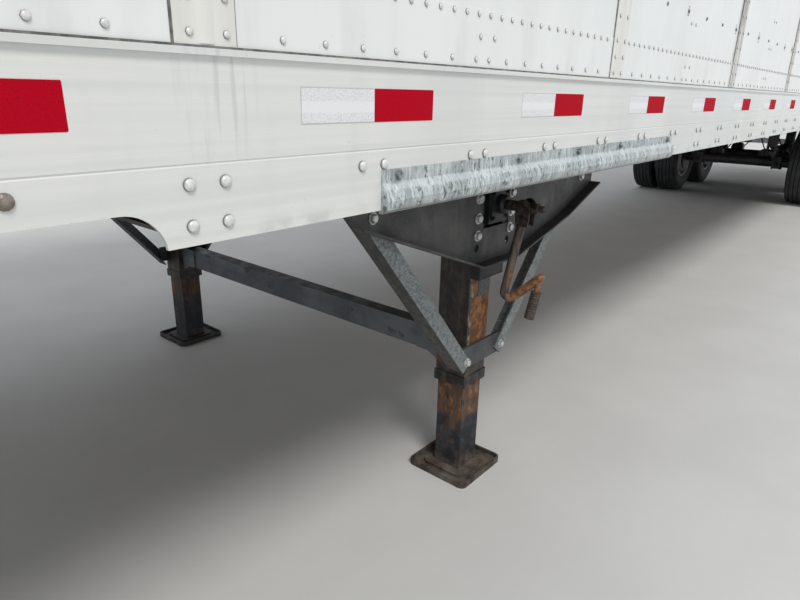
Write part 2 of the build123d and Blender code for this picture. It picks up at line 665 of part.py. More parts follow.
def lamps():
    high, out = HEIGHT - 75, RAIL_OUT - 114
    pieces = [box(DOOR_FACE - 12, DOOR_FACE, y - 30, y + 30, high, high + 20) for y in (-150, 0, 150)]
    for y, z in ((out, HEIGHT - 65), (out, 1183), (out - 140, 1183)):
        pieces += both(rod((DOOR_FACE, y, z), (DOOR_FACE - 14, y, z), 26))
    for x, z in ((FRONT - 137, high), (FRONT - 137, 1250), (0, 1250), (REAR + 207, 1250)):
        pieces += both(box(x - 35, x + 35, RAIL_OUT, RAIL_OUT + 5, z - 12, z + 12))
    for y in (94 - RAIL_OUT, 0, RAIL_OUT - 94):
        pieces.append(box(FRONT, FRONT + 12, y - 30, y + 30, high, high + 20))
    return pieces


def front_couplings():
    """Plate on the front wall with two air couplings and the cable socket."""
    plate = box(FRONT, FRONT + 6, -220, 220, 1230, 1400)
    for y in (-140, 140):
        plate += rod((FRONT + 6, y, 1320), (FRONT + COUPLING_OUT, y, 1320), 26)
        plate += box(FRONT + 20, FRONT + COUPLING_OUT, y - 26, y + 26, 1262, 1320)
    socket = rod((FRONT + 6, 0, 1320), (FRONT + COUPLING_OUT, 0, 1320), 34, 26)
    return plate + socket


# Pieces that exist once on each side: name, maker of the left one
PAIRS = [
    ("side_wall", side_wall), ("door", door),
    ("lock_rods", lock_rods)]

# Pieces whose two sides share a node: name, maker of the left one
SHARED = [
    ("side_rails", side_rail), ("top_rails", top_rail), ("rail_guards", rail_guard),
    ("inner_legs", inner_leg), ("sand_shoes", sand_shoe), ("brace_straps", strap),
    ("leg_brackets", wing), ("slider_rails", slider_rail), ("mud_flaps", mud_flap),
    ("flap_hangers", flap_hanger), ("hinge_butts", hinge_butts)]

# Pieces across the middle: name, maker
SINGLE = [
    ("roof", roof), ("roof_bows", roof_bows), ("front_wall", front_wall), ("floor", floor),
    ("upper_coupler", upper_coupler), ("kingpin", kingpin), ("rear_frame", rear_frame),
    ("cross_channel", cross_channel), ("crank_handle", crank), ("crank_grip", crank_grip),
    ("slider_pins", slider_pins), ("bogie_frame", bogie_frame), ("leaf_springs", leaf_springs),
    ("air_tank", air_tank), ("air_hoses", air_hoses), ("rear_bumper", rear_bumper),
    ("lamps", lamps), ("front_couplings", front_couplings)]


def as_list(made):
    return made if isinstance(made, list) else [made]


def main():
    os.makedirs("parts", exist_ok=True)
    for name, maker in PAIRS:
        left = as_list(maker())
        save(name + "_left", *left)
        save(name + "_right", *[mirrored(piece) for piece in left])
    for name, maker in SHARED:
        left = as_list(maker())
        save(name, *left, *[mirrored(piece) for piece in left])
    for name, maker in SINGLE:
        save(name, *as_list(maker()))
    save("crossmembers", *[crossmember(x) for x in CROSS_XS])
    save("leg_braces", *both(brace(1)), *both(brace(-1)))
    save("outer_legs", leg(GEARBOX_OUT), mirrored(leg(-4)))
    chambers = [piece for x in AXLES.values() for piece in both(brake_chamber(x))]
    save("brake_chambers", *chambers)
    inside = LEG_Y - LEG_SQUARE / 2
    save("cross_shaft", rod((LEG_X, -inside, LEG_HIGH - 45), (LEG_X, inside, LEG_HIGH - 45), 13))
    for name, x in AXLES.items():
        save("axle_" + name, axle(x))
        tyres = [tyre(x, DUAL_Y + s * DUAL_SPACING / 2) for s in (-1, 1)]
        for side, turn in (("left", lambda s: s), ("right", mirrored)):
            save("tyres_" + name + "_" + side, *[turn(t) for t in tyres])
            save("wheel_" + name + "_" + side, turn(wheel(x)))


main()
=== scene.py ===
"""A dry van semi trailer on its landing legs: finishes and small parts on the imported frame.

Metres, in the frame of the CAD: +X front of the trailer, +Y left side, +Z up.
A side is 1 for the trailer's left and -1 for its right."""
import math
import random

import bpy
import bmesh
from mathutils import Matrix, Vector


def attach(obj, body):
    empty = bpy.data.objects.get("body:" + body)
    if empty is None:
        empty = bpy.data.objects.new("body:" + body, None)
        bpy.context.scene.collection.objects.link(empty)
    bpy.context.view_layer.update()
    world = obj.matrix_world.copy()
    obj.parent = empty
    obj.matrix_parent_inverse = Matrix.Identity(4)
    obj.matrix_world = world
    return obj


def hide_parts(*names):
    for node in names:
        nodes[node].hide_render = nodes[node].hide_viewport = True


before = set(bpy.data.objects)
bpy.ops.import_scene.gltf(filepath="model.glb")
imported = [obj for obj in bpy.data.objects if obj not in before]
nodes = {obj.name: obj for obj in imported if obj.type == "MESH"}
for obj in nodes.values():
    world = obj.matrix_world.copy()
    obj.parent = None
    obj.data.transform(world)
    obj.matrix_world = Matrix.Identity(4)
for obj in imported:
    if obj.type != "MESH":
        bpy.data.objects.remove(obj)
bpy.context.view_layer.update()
random.seed(7)

# Places that the CAD sets
LEG_X = 4.470  # middle of the landing legs
RAIL_Y, SKIN_Y, STRIP_Y = 1.294, 1.288, 1.291  # outer faces of rail, wall sheet and joint strip
PLATE_Y, BRACE_Y = 1.000, 0.976  # outer faces of bracket plate and brace angles
GUARD_Y, GUARD_CREASE = 1.297, 1.151  # face of the guard's upper band, its fold's height
GEARBOX_Y, SHAFT_Z = 1.010, 0.984  # gearbox face, height of the crank's shaft
LEG_FACE = 0.960  # outer face of the outer leg
FRONT_IN, FRONT = 7.997, 8.037  # inner and outer face of the front wall
FRAME_FRONT, DOOR_FACE = -7.918, -8.018  # front of the rear frame, face of the doors
LIP_Z, WALL_TOP = 1.348, 3.948  # top of the rail's lip, end of the joint strips
ROOF_Z = 4.110
CROSS_XS = [5.9665 - 0.3075 * i for i in range(46)]
GUARD_REAR, GUARD_FRONT = LEG_X - 0.640, LEG_X + 0.862
AXLES = {"front": -3.580, "rear": -4.825}
AXLE_Z = 0.508
TYRE_YS = 0.825, 1.155  # middles of a wheel pair's two tyres
DISC_Y, HUB_Y = 1.004, 1.160  # feet of the wheel nuts and of the hub cap's bolts
HINGE_ZS = [1.480 + 0.575 * i for i in range(5)]
HOSE_STARTS = {"front": -4.162, "rear": -5.405}

# Joint strips of the walls, each behind its seam
SEAM_PITCH, STRIP_WIDE = 1.2642, 0.085
SEAMS = [LEG_X + 1.215 - SEAM_PITCH * i for i in range(-1, 11)]
LAP_THICK, LAP_TOP = 0.0012, 1.450  # lower sheet lap between the strips

# Reflective tape, from the photograph
TAPE_FIRST, TAPE_PITCH, TAPE_LONG = LEG_X + 1.03208, 0.61918, 0.1524
TAPE_LOW, TAPE_MID, TAPE_HIGH, TAPE_THICK = 1.2567, 1.2821, 1.3075, 0.0005

# Rivet heads as radius, height and number of sides
RAIL_HEAD, WALL_HEAD, LINER_HEAD = (0.0090, 0.0062, 12), (0.0055, 0.0036, 7), (0.0065, 0.0035, 8)
POST_HEAD, PANEL_HEAD = (0.008, 0.0055, 12), (0.005, 0.0025, 6)


class Finish:
    """A procedural material, built with short helpers."""

    def __init__(self, name, metal=0.0, rough=0.5, coat=0.0):
        self.material = bpy.data.materials.new(name)
        self.material.use_nodes = True
        self.tree = self.material.node_tree
        self.shader = self.tree.nodes["Principled BSDF"]
        self.shader.inputs["Metallic"].default_value = metal
        self.shader.inputs["Roughness"].default_value = rough
        self.shader.inputs["Coat Weight"].default_value = coat
        self.place = self.node("ShaderNodeTexCoord", {}).outputs["Object"]

    def link(self, value, socket):
        if isinstance(value, bpy.types.NodeSocket):
            self.tree.links.new(value, socket)
        elif isinstance(value, (int, float)):
            socket.default_value = value
        else:
            socket.default_value = (*value, 1.0)[:len(socket.default_value)]

    def node(self, kind, inputs):
        """A new node with some of its inputs, by name or number."""
        made = self.tree.nodes.new(kind)
        for socket, value in inputs.items():
            self.link(value, made.inputs[socket])
        return made

    def scaled(self, x, y, z, at=(0, 0, 0)):
        """Coordinates measured from a place and multiplied on each axis."""
        shift = (-at[0] * x, -at[1] * y, -at[2] * z)
        inputs = {"Vector": self.place, "Location": shift, "Scale": (x, y, z)}
        return self.node("ShaderNodeMapping", inputs).outputs["Vector"]

    def noise(self, scale, detail=3.0, rough=0.55):
        """Noise of one scale, or stretched by a scale for each axis."""
        place = self.place
        if isinstance(scale, tuple):
            place, scale = self.scaled(*scale), 1.0
        inputs = {"Vector": place, "Scale": scale, "Detail": detail, "Roughness": rough}
        return self.node("ShaderNodeTexNoise", inputs).outputs["Fac"]

    def cells(self, scale, output="Distance", feature="F1"):
        node = self.node("ShaderNodeTexVoronoi", {"Vector": self.place, "Scale": scale})
        node.feature = feature
        return node.outputs[output]

    def spangle(self, scale):
        """A tone of its own for each cell, as on galvanised sheet."""
        tones = self.cells(scale, output="Color")
        return self.node("ShaderNodeSeparateColor", {0: tones}).outputs[0]

    def split(self, vector, letter):
        return self.node("ShaderNodeSeparateXYZ", {0: vector}).outputs[letter]

    def axis(self, letter):
        return self.split(self.place, letter)

    def normal(self, letter):
        """How far the surface faces along one axis, from -1 to 1."""
        return self.split(self.node("ShaderNodeTexCoord", {}).outputs["Normal"], letter)

    def ramp(self, value, low, high, out_low=0.0, out_high=1.0):
        """Value between low and high becomes out_low to out_high, smoothly."""
        inputs = dict(enumerate((value, low, high, out_low, out_high)))
        node = self.node("ShaderNodeMapRange", inputs)
        node.interpolation_type = "SMOOTHSTEP"
        return node.outputs[0]

    def maths(self, operation, a, b=0.0):
        node = self.node("ShaderNodeMath", {0: a, 1: b})
        node.operation = operation
        node.use_clamp = operation in ("ADD", "MULTIPLY", "MAXIMUM")
        return node.outputs[0]

    def times(self, first, *others):
        """The product of masks and shares, each from 0 to 1."""
        for other in others:
            first = self.maths("MULTIPLY", first, other)
        return first

    def off(self, letter, place):
        """Distance from a place along one axis."""
        return self.maths("ABSOLUTE", self.maths("SUBTRACT", self.axis(letter), place))

    def near(self, centre, radii):
        """1 at a place, falling to 0 at the given distances on each axis."""
        vector = self.scaled(*[1 / r for r in radii], at=centre)
        node = self.node("ShaderNodeVectorMath", {0: vector})
        node.operation = "LENGTH"
        return self.ramp(node.outputs["Value"], 0.35, 1.0, 1.0, 0.0)

    def far_side(self, share):
        """The share on the right half of the trailer, 0 on the left, for painted shade on the right
        leg.
        """
        return self.ramp(self.axis("Y"), -0.1, 0.1, share, 0.0)

    def mix(self, share, a, b):
        node = self.node("ShaderNodeMix", {0: share})
        node.data_type = "RGBA"
        self.link(a, node.inputs[6])
        self.link(b, node.inputs[7])
        return node.outputs[2]

    def over(self, base, colour, mask, share):
        """The base with a colour laid on it where the mask is, at most by the share."""
        return self.mix(self.times(mask, share), base, colour)

    def patches(self, scale, detail, low, high):
        """A mask from noise, 0 below low and 1 above high."""
        return self.ramp(self.noise(scale, detail), low, high)

    def patched(self, base, colour, scale, detail, low, high, share=1.0):
        """The base with patches of a colour, at most by the share."""
        return self.over(base, colour, self.patches(scale, detail, low, high), share)

    def colour(self, value):
        self.link(value, self.shader.inputs["Base Color"])
        return self

    def rough(self, value):
        self.link(value, self.shader.inputs["Roughness"])
        return self

    def drift(self, scale, detail, low, high):
        """Roughness that drifts between two values."""
        return self.rough(self.ramp(self.noise(scale, detail), 0.3, 0.7, low, high))

    def bump(self, height, distance, strength=0.6):
        inputs = {"Strength": strength, "Distance": distance, "Height": height}
        node = self.node("ShaderNodeBump", inputs)
        self.tree.links.new(node.outputs[0], self.shader.inputs["Normal"])
        return self


def white_wall():
    """White sheet with a cool cast, cream joint strips, faint streaks, grime, and painted shade
    along two dented joints.
    """
    f = Finish("white_wall", rough=0.35, coat=0.15)
    base = f.patched((0.86, 0.885, 0.88), (0.82, 0.845, 0.84), (9, 9, 0.5), 5, 0.35, 0.75)
    base = f.patched(base, (0.74, 0.78, 0.785), 0.5, 4, 0.45, 0.8, 0.3)  # clouds
    strip = f.ramp(f.off("Y", 0), SKIN_Y + 0.0018, SKIN_Y + 0.0024)
    cream = f.patched((0.82, 0.815, 0.78), (0.74, 0.73, 0.69), (30, 30, 2), 4, 0.4, 0.7)
    base = f.mix(strip, base, cream)
    base = f.patched(base, (0.30, 0.28, 0.26), 60, 3, 0.70, 0.78, 0.22)  # specks
    low = f.ramp(f.axis("Z"), 1.35, 1.55, 1.0, 0.0)
    dirt = f.times(low, f.patches((14, 14, 3), 5, 0.46, 0.7))
    base = f.over(base, (0.45, 0.44, 0.41), dirt, 0.2)
    # painted shade of the dented joints at two seams of the left wall, where the sheet bulges, with
    # some rust in it
    for seam, wide in ((SEAMS[3], 0.075), (SEAMS[4], 0.06)):
        across = f.off("X", seam - 0.03)
        dent_shade = f.times(f.ramp(across, wide * 0.25, wide, 1.0, 0.0), f.ramp(f.axis("Y"), 0.0, 0.1),
                      f.ramp(f.axis("Z"), 1.9, 3.2, 1.0, 0.25),
                      f.patches((40, 40, 5), 6, 0.36, 0.60))
        base = f.over(base, (0.20, 0.19, 0.17), dent_shade, 0.75)
    f.colour(base).drift(5, 4, 0.28, 0.48)
    return f.bump(f.noise((1.3, 1.3, 1.7), 2), 0.004, 0.35).material


def white_rail():
    """White extrusion, cream to pale green, with water stains and a dirty lower edge."""
    f = Finish("white_rail", rough=0.33, coat=0.1)
    lines = f.noise((0.8, 30, 60), 4)
    base = f.mix(f.ramp(lines, 0.35, 0.7), (0.78, 0.785, 0.76), (0.70, 0.72, 0.705))
    base = f.patched(base, (0.73, 0.77, 0.765), (1.6, 1.6, 1.0), 3, 0.42, 0.62)  # cool
    base = f.patched(base, (0.60, 0.63, 0.625), (3.4, 1.0, 0.3), 2, 0.46, 0.62, 0.35)  # bands
    base = f.patched(base, (0.62, 0.63, 0.62), (9, 9, 1.5), 5, 0.56, 0.74, 0.22)  # smears
    stain = f.near((LEG_X + 1.165, RAIL_Y, 1.31), (0.075, 0.3, 0.14))
    stain = f.times(stain, f.patches((75, 75, 5), 5, 0.48, 0.62))
    base = f.over(base, (0.52, 0.54, 0.54), stain, 0.5)
    edge = f.ramp(f.axis("Z"), 1.112, 1.140, 1.0, 0.0)
    dirt = f.times(edge, f.patches(18, 5, 0.48, 0.64))
    base = f.over(base, (0.38, 0.37, 0.35), dirt, 0.4)
    base = f.patched(base, (0.24, 0.23, 0.22), 95, 2, 0.72, 0.79, 0.35)  # specks
    return f.colour(base).rough(f.ramp(lines, 0.3, 0.7, 0.26, 0.42)).material


def rivet_heads():
    """White painted heads, with painted shade on their sides where they turn from the wall's face.
    """
    f = Finish("rivet_white", metal=0.1, rough=0.35)
    paint = f.patched((0.80, 0.81, 0.80), (0.62, 0.63, 0.62), 200, 5, 0.38, 0.68)
    # painted shade: the heads darken where their surface turns away from the wall's face
    flat = f.ramp(f.maths("ABSOLUTE", f.normal("Y")), 0.26, 0.78)
    return f.colour(f.mix(flat, (0.20, 0.20, 0.195), paint)).material


def galvanised(name="galvanised", dark=1.0):
    """Zinc spangle with pale streaks and dull patches."""
    f = Finish(name, metal=0.75, rough=0.45)
    low, high = [c * dark for c in (0.36, 0.39, 0.42)], [c * dark for c in (0.58, 0.61, 0.63)]
    base = f.mix(f.spangle(75), low, high)
    streaks = f.patches((22, 22, 6), 5, 0.5, 0.72)
    base = f.over(base, [c * dark for c in (0.78, 0.80, 0.80)], streaks, 0.55)
    base = f.patched(base, (0.24, 0.22, 0.20), 9, 5, 0.56, 0.75, 0.4)  # stains
    return f.colour(base).drift(30, 4, 0.35, 0.62).material


def streaked_zinc():
    """The guard's zinc: pale, with fine dark runs, a painted highlight along the crease and painted
    shade along the underside.
    """
    f = Finish("guard_zinc", metal=0.45, rough=0.42)
    broad = f.noise((20, 20, 9), 4)
    base = f.mix(f.ramp(broad, 0.35, 0.65), (0.42, 0.47, 0.48), (0.64, 0.68, 0.68))
    runs = f.ramp(f.noise((230, 60, 20), 7, 0.7), 0.47, 0.56)
    base = f.over(base, (0.27, 0.32, 0.34), runs, 0.6)
    pale = f.ramp(f.noise((120, 60, 30), 6, 0.7), 0.55, 0.64)
    base = f.over(base, (0.86, 0.88, 0.87), pale, 0.7)
    spots = f.ramp(f.noise((150, 90, 85), 8, 0.75), 0.50, 0.56)
    drips = f.ramp(f.noise((55, 40, 6), 6, 0.65), 0.46, 0.58)
    base = f.over(base, (0.07, 0.08, 0.085), f.times(spots, drips), 0.85)
    # painted highlight on the fold's sloped face
    crease = f.off("Z", GUARD_CREASE)
    base = f.mix(f.ramp(crease, 0.003, 0.008, 0.35, 0.0), base, (0.74, 0.79, 0.81))
    # painted shade where the lower edge curves in underneath
    under = f.ramp(f.axis("Z"), 1.108, 1.120, 1.0, 0.0)
    base = f.over(base, (0.20, 0.21, 0.21), under, 0.5)
    return f.colour(base).rough(f.ramp(broad, 0.3, 0.7, 0.32, 0.55)).material


def brace_zinc():
    """Coarse spangle of the braces; what faces down darker with brown grime and painted shade, and
    the right leg's braces near black with painted shade.
    """
    f = Finish("brace_zinc", metal=0.5, rough=0.45)
    base = f.mix(f.spangle(150), (0.15, 0.17, 0.175), (0.25, 0.275, 0.28))
    flakes = f.ramp(f.noise((150, 90, 110), 6, 0.7), 0.53, 0.62)
    base = f.over(base, (0.50, 0.535, 0.54), flakes, 0.45)
    base = f.patched(base, (0.085, 0.09, 0.087), 70, 6, 0.52, 0.62, 0.45)  # dark
    # faces that turn down: painted shade with brown grime in it
    under = f.ramp(f.normal("Z"), -0.6, -0.25, 1.0, 0.0)
    grime = f.patched((0.060, 0.058, 0.053), (0.105, 0.10, 0.09), 26, 5, 0.4, 0.65)
    base = f.over(base, grime, under, 0.85)
    # painted shade: the right leg's braces, under the trailer, near black
    base = f.mix(f.far_side(0.75), base, (0.020, 0.023, 0.028))
    return f.colour(base).drift(60, 4, 0.35, 0.6).material


def grey_paint(name="grey_paint", low=(0.040, 0.042, 0.041), high=(0.085, 0.086, 0.083)):
    """Dark grey paint, dusty, with fine scratches."""
    f = Finish(name, metal=0.25, rough=0.5)
    base = f.patched(low, high, 6, 5, 0.35, 0.7)
    base = f.patched(base, (0.22, 0.21, 0.20), (20, 20, 7), 6, 0.52, 0.75, 0.3)  # dust
    base = f.patched(base, (0.30, 0.29, 0.28), 160, 5, 0.60, 0.70, 0.3)  # specks
    base = f.patched(base, (0.38, 0.38, 0.37), (160, 160, 12), 3, 0.68, 0.74, 0.4)  # scratches
    return f.colour(base).drift(15, 4, 0.42, 0.65).material


def beam_paint():
    """Blue grey paint of the beam between the legs, with painted shade that makes its top and
    bottom faces almost black.
    """
    f = Finish("beam_paint", metal=0.2, rough=0.5)
    base = f.patched((0.085, 0.097, 0.108), (0.15, 0.165, 0.175), (9, 5, 9), 5, 0.38, 0.66)
    base = f.patched(base, (0.020, 0.021, 0.023), (30, 9, 14), 5, 0.60, 0.70, 0.8)  # blots
    # painted shade on the faces that look up and down
    base = f.mix(f.ramp(f.maths("ABSOLUTE", f.normal("Z")), 0.5, 0.8), base, (0.014, 0.014, 0.015))
    return f.colour(base).drift(15, 4, 0.42, 0.65).material


def rust_tones(f):
    """Orange rust with brown pits."""
    rust = f.patched((0.10, 0.040, 0.018), (0.29, 0.130, 0.047), 34, 7, 0.36, 0.64)
    return f.patched(rust, (0.06, 0.025, 0.015), 120, 4, 0.60, 0.72, 0.5)


def outer_leg():
    """Dark brown tube, orange rust on its outer face, black gearbox and mount."""
    f = Finish("outer_leg_paint", metal=0.1, rough=0.65)
    fine, runs = f.noise(30, 7), f.noise((46, 46, 5), 6)
    paint = f.mix(f.ramp(fine, 0.35, 0.7), (0.018, 0.016, 0.014), (0.055, 0.045, 0.037))
    paint = f.over(paint, (0.12, 0.083, 0.06), f.ramp(runs, 0.5, 0.68), 0.7)
    out = f.off("Y", 0)
    face = f.ramp(out, LEG_FACE - 0.0005, LEG_FACE - 0.0002)
    high, low = f.ramp(f.axis("Z"), 0.725, 0.760, 1.0, 0.0), f.ramp(f.axis("Z"), 0.500, 0.512)
    edge = f.maths("SUBTRACT", f.axis("X"), LEG_X + 0.012)
    edge = f.maths("SUBTRACT", edge, f.times(f.noise((20, 20, 24), 6), 0.07))
    ragged = f.ramp(edge, -0.012, 0.0, 1.0, 0.0)
    mask = f.times(face, ragged, high, low, f.patches(24, 5, 0.33, 0.42))
    drops = f.times(f.patches(22, 6, 0.60, 0.68), f.ramp(f.axis("Z"), 0.40, 0.62, 0.9, 0.15),
                    f.ramp(f.axis("Z"), 0.40, 0.43))
    mask = f.maths("MAXIMUM", mask, drops)
    base = f.mix(mask, paint, rust_tones(f))
    tan = f.times(face, f.ramp(edge, -0.016, 0.004), f.ramp(edge, 0.004, 0.02, 1.0, 0.0),
                  high, f.patches(45, 5, 0.50, 0.60))
    base = f.over(base, (0.33, 0.25, 0.17), tan, 0.8)
    beyond = f.ramp(out, LEG_FACE + 0.0001, LEG_FACE + 0.0006)
    box = f.times(beyond, f.ramp(f.axis("Z"), 0.735, 0.741))
    collar = f.times(f.ramp(f.axis("Z"), 0.386, 0.392, 1.0, 0.0),
                     f.ramp(f.noise(26, 6), 0.40, 0.56, 1.0, 0.15))
    box = f.maths("MAXIMUM", box, collar)
    dusty = f.patched((0.007, 0.008, 0.010), (0.024, 0.023, 0.023), 40, 5, 0.5, 0.72)
    base = f.mix(box, base, dusty)
    f.colour(base).rough(f.ramp(mask, 0.0, 1.0, 0.52, 0.85))
    return f.bump(f.maths("ADD", f.times(mask, 0.5), fine), 0.0012, 0.7).material


def inner_leg():
    """Brown rust at the top with wide black runs, blue black below."""
    f = Finish("inner_leg_rust", metal=0.1, rough=0.7)
    fine, runs = f.noise(30, 7), f.noise((44, 44, 4), 6)
    brown = f.mix(f.ramp(runs, 0.38, 0.66), (0.030, 0.021, 0.018), (0.13, 0.078, 0.050))
    black = f.mix(f.ramp(fine, 0.4, 0.7), (0.010, 0.011, 0.015), (0.035, 0.040, 0.050))
    high = f.maths("ADD", f.axis("Z"), f.times(f.maths("SUBTRACT", runs, 0.5), 0.25))
    rusty = f.mix(f.ramp(runs, 0.49, 0.57, 1.0, 0.0), black, rust_tones(f))
    blots = f.ramp(f.noise((24, 24, 9), 6, 0.65), 0.44, 0.54)
    rusty = f.over(rusty, brown, blots, 0.75)
    below = f.patched(brown, black, 16, 6, 0.34, 0.47)
    base = f.mix(f.ramp(high, 0.20, 0.245), below, rusty)
    dust = f.ramp(f.axis("Z"), 0.02, 0.08, 0.4, 0.0)
    base = f.over(base, (0.17, 0.135, 0.11), dust, f.ramp(fine, 0.35, 0.6))
    # painted shade: the right leg, under the trailer, darker
    base = f.mix(f.far_side(0.45), base, (0.016, 0.017, 0.021))
    return f.colour(base).bump(fine, 0.001, 0.7).material


def shoe_finish():
    """Foot plate: dark brown under dust, rust on the rim."""
    f = Finish("shoe_rust", metal=0.1, rough=0.8)
    fine = f.noise(28, 7)
    base = f.mix(f.ramp(fine, 0.35, 0.66), (0.032, 0.026, 0.022), (0.105, 0.085, 0.068))
    base = f.patched(base, (0.13, 0.070, 0.040), 17, 6, 0.58, 0.70)  # rust
    base = f.patched(base, (0.22, 0.195, 0.165), 9, 6, 0.48, 0.70, 0.45)  # dust
    # painted shade: the right shoe, under the trailer, darker
    base = f.mix(f.far_side(0.7), base, (0.022, 0.022, 0.024))
    return f.colour(base).bump(fine, 0.0012, 0.7).material


def crank_finish():
    """Brown worn arm, black shaft and an orange handle run."""
    f = Finish("crank_paint", metal=0.25, rough=0.55)
    fine = f.noise(60, 6)
    arm = f.patched((0.045, 0.032, 0.026), (0.17, 0.125, 0.10), (60, 60, 9), 5, 0.38, 0.66)
    handle = f.times(f.ramp(f.axis("Y"), 1.062, 1.078), f.ramp(f.axis("Z"), 0.775, 0.790, 1.0, 0.0))
    rust = f.mix(f.ramp(fine, 0.38, 0.62), (0.14, 0.064, 0.032), (0.30, 0.150, 0.072))
    base = f.mix(handle, arm, rust)
    black = f.mix(f.ramp(fine, 0.45, 0.65), (0.018, 0.016, 0.015), (0.085, 0.065, 0.05))
    base = f.mix(f.ramp(f.axis("Z"), 0.958, 0.966), base, black)
    return f.colour(base).bump(fine, 0.0008, 0.6).material


def black_steel():
    """Black chassis paint under road dust."""
    f = Finish("black_steel", rough=0.6)
    base = f.patched((0.014, 0.014, 0.015), (0.05, 0.048, 0.045), 5, 5, 0.35, 0.7)
    dust = f.patches(14, 6, 0.55, 0.75)
    base = f.over(base, (0.13, 0.115, 0.10), dust, 0.3)
    base = f.patched(base, (0.17, 0.075, 0.03), 3.4, 6, 0.62, 0.7, 0.5)  # rust
    f.colour(base).rough(f.ramp(dust, 0, 1, 0.5, 0.8))
    return f.bump(f.noise(60, 4), 0.0006, 0.4).material


def bare_steel():
    """Steel with dark grease in patches."""
    f = Finish("greased_steel", metal=0.9, rough=0.3)
    base = f.patched((0.35, 0.34, 0.33), (0.12, 0.10, 0.09), 40, 5, 0.4, 0.65)
    return f.colour(base).drift(60, 3, 0.22, 0.5).material


def aluminium():
    """Mill sheet of the roof, with long dull marks."""
    f = Finish("roof_aluminium", metal=0.8, rough=0.4)
    base = f.patched((0.62, 0.63, 0.64), (0.75, 0.76, 0.77), (0.7, 12, 12), 5, 0.35, 0.7)
    base = f.patched(base, (0.46, 0.45, 0.43), 2.5, 5, 0.5, 0.8, 0.5)  # dull
    return f.colour(base).drift(4, 4, 0.32, 0.55).material


def wood_floor():
    """Oak boards along the trailer, scuffed by pallets."""
    f = Finish("oak_boards", rough=0.6)
    grain = f.noise((1.5, 40, 40), 6)
    base = f.mix(f.ramp(grain, 0.3, 0.7), (0.30, 0.19, 0.10), (0.47, 0.33, 0.19))
    wave = f.node("ShaderNodeTexWave", {"Vector": f.place, "Scale": 5.2})
    wave.bands_direction = "Y"
    seam = f.ramp(wave.outputs["Fac"], 0.0, 0.03, 1.0, 0.0)
    base = f.over(base, (0.05, 0.035, 0.02), seam, 0.85)
    base = f.patched(base, (0.20, 0.16, 0.12), 7, 5, 0.5, 0.8, 0.6)  # scuffs
    return f.colour(base).bump(grain, 0.001, 0.4).material


def rubber(name="tyre_rubber", dust=0.2):
    """Black rubber, grey with dust in patches."""
    f = Finish(name, rough=0.75)
    base = f.patched((0.013, 0.014, 0.016), (0.032, 0.033, 0.035), 9, 5, 0.4, 0.7)
    grey = f.patches(22, 6, 0.5, 0.75)
    base = f.over(base, (0.16, 0.145, 0.125), grey, dust)
    f.colour(base).rough(f.ramp(grey, 0, 1, 0.65, 0.9))
    return f.bump(f.noise(120, 3), 0.0005, 0.5).material


def wheel_paint():
    """Pale grey paint of the wheels, rusty in spots."""
    f = Finish("wheel_paint", metal=0.2, rough=0.5)
    base = f.patched((0.55, 0.55, 0.54), (0.40, 0.39, 0.37), 8, 5, 0.35, 0.7)
    base = f.patched(base, (0.22, 0.10, 0.05), 12, 6, 0.60, 0.70, 0.6)
    return f.colour(base).bump(f.noise(90, 3), 0.0004, 0.4).material


def lens():
    """Red lamp lenses, amber ones at the front half of the trailer."""
    f = Finish("lamp_lens", rough=0.15, coat=0.6)
    ahead = f.ramp(f.axis("X"), 3.0, 3.1)
    base = f.mix(ahead, (0.42, 0.012, 0.010), (0.80, 0.28, 0.02))
    ribs = f.noise((180, 180, 180), 1)
    return f.colour(base).bump(ribs, 0.0006, 0.6).material


def plain(name, colour, other, scale, rough, metal=0.0):
    """Two close tones in fine noise, for small parts."""
    f = Finish(name, metal=metal, rough=rough)
    f.colour(f.patched(colour, other, scale, 5, 0.38, 0.68))
    return f.bump(f.noise(scale * 2, 3), 0.0004, 0.4).material


def red_tape():
    """Crimson reflective tape with the fine dark mesh of its cells."""
    f = Finish("red_tape", rough=0.6)
    f.shader.inputs["Specular IOR Level"].default_value = 0.05
    mesh = f.ramp(f.cells(330, feature="DISTANCE_TO_EDGE"), 0.03, 0.10, 1.0, 0.0)
    base = f.mix(f.times(mesh, 0.35), (0.50, 0.002, 0.016), (0.24, 0.002, 0.010))
    base = f.patched(base, (0.14, 0.005, 0.01), 30, 4, 0.70, 0.78, 0.35)  # marks
    return f.colour(base).material


def white_tape():
    """White reflective tape, honeycombed above and below a plain middle band."""
    f = Finish("white_tape", rough=0.4, coat=0.1)
    comb = f.ramp(f.cells(230, feature="DISTANCE_TO_EDGE"), 0.04, 0.12, 1.0, 0.0)
    middle = f.off("Z", 1.280)
    band = f.ramp(middle, 0.006, 0.010, 0.15, 0.7)
    tint = f.mix(f.ramp(middle, 0.006, 0.010), (0.86, 0.87, 0.89), (0.83, 0.84, 0.85))
    base = f.mix(f.times(comb, band), tint, (0.60, 0.62, 0.65))
    height = f.off("Z", TAPE_MID)
    along = f.maths("FLOORED_MODULO", f.maths("SUBTRACT", f.axis("X"), TAPE_FIRST), TAPE_PITCH)
    rim = f.maths("MAXIMUM", f.ramp(height, 0.0236, 0.0244), f.ramp(along, 0.6170, 0.6178))
    rim = f.times(rim, f.ramp(height, 0.0256, 0.0264, 1.0, 0.0))
    return f.colour(f.mix(f.times(rim, 0.6), base, (0.36, 0.37, 0.38))).material


# Small meshes

def side_name(side):
    return "left" if side > 0 else "right"


def layer(side, start, thick):
    """Lower and upper Y of a sheet on one side that starts at a distance from the middle."""
    return sorted((side * start, side * (start + thick)))


def linked(name, data):
    """A new object in the scene."""
    made = bpy.data.objects.new(name, data)
    bpy.context.scene.collection.objects.link(made)
    return made


def circle(radius, count, turn=0.0):
    """Corners of a regular outline round the origin."""
    angles = [2 * math.pi * k / count + turn for k in range(count)]
    return [(radius * math.cos(a), radius * math.sin(a)) for a in angles]


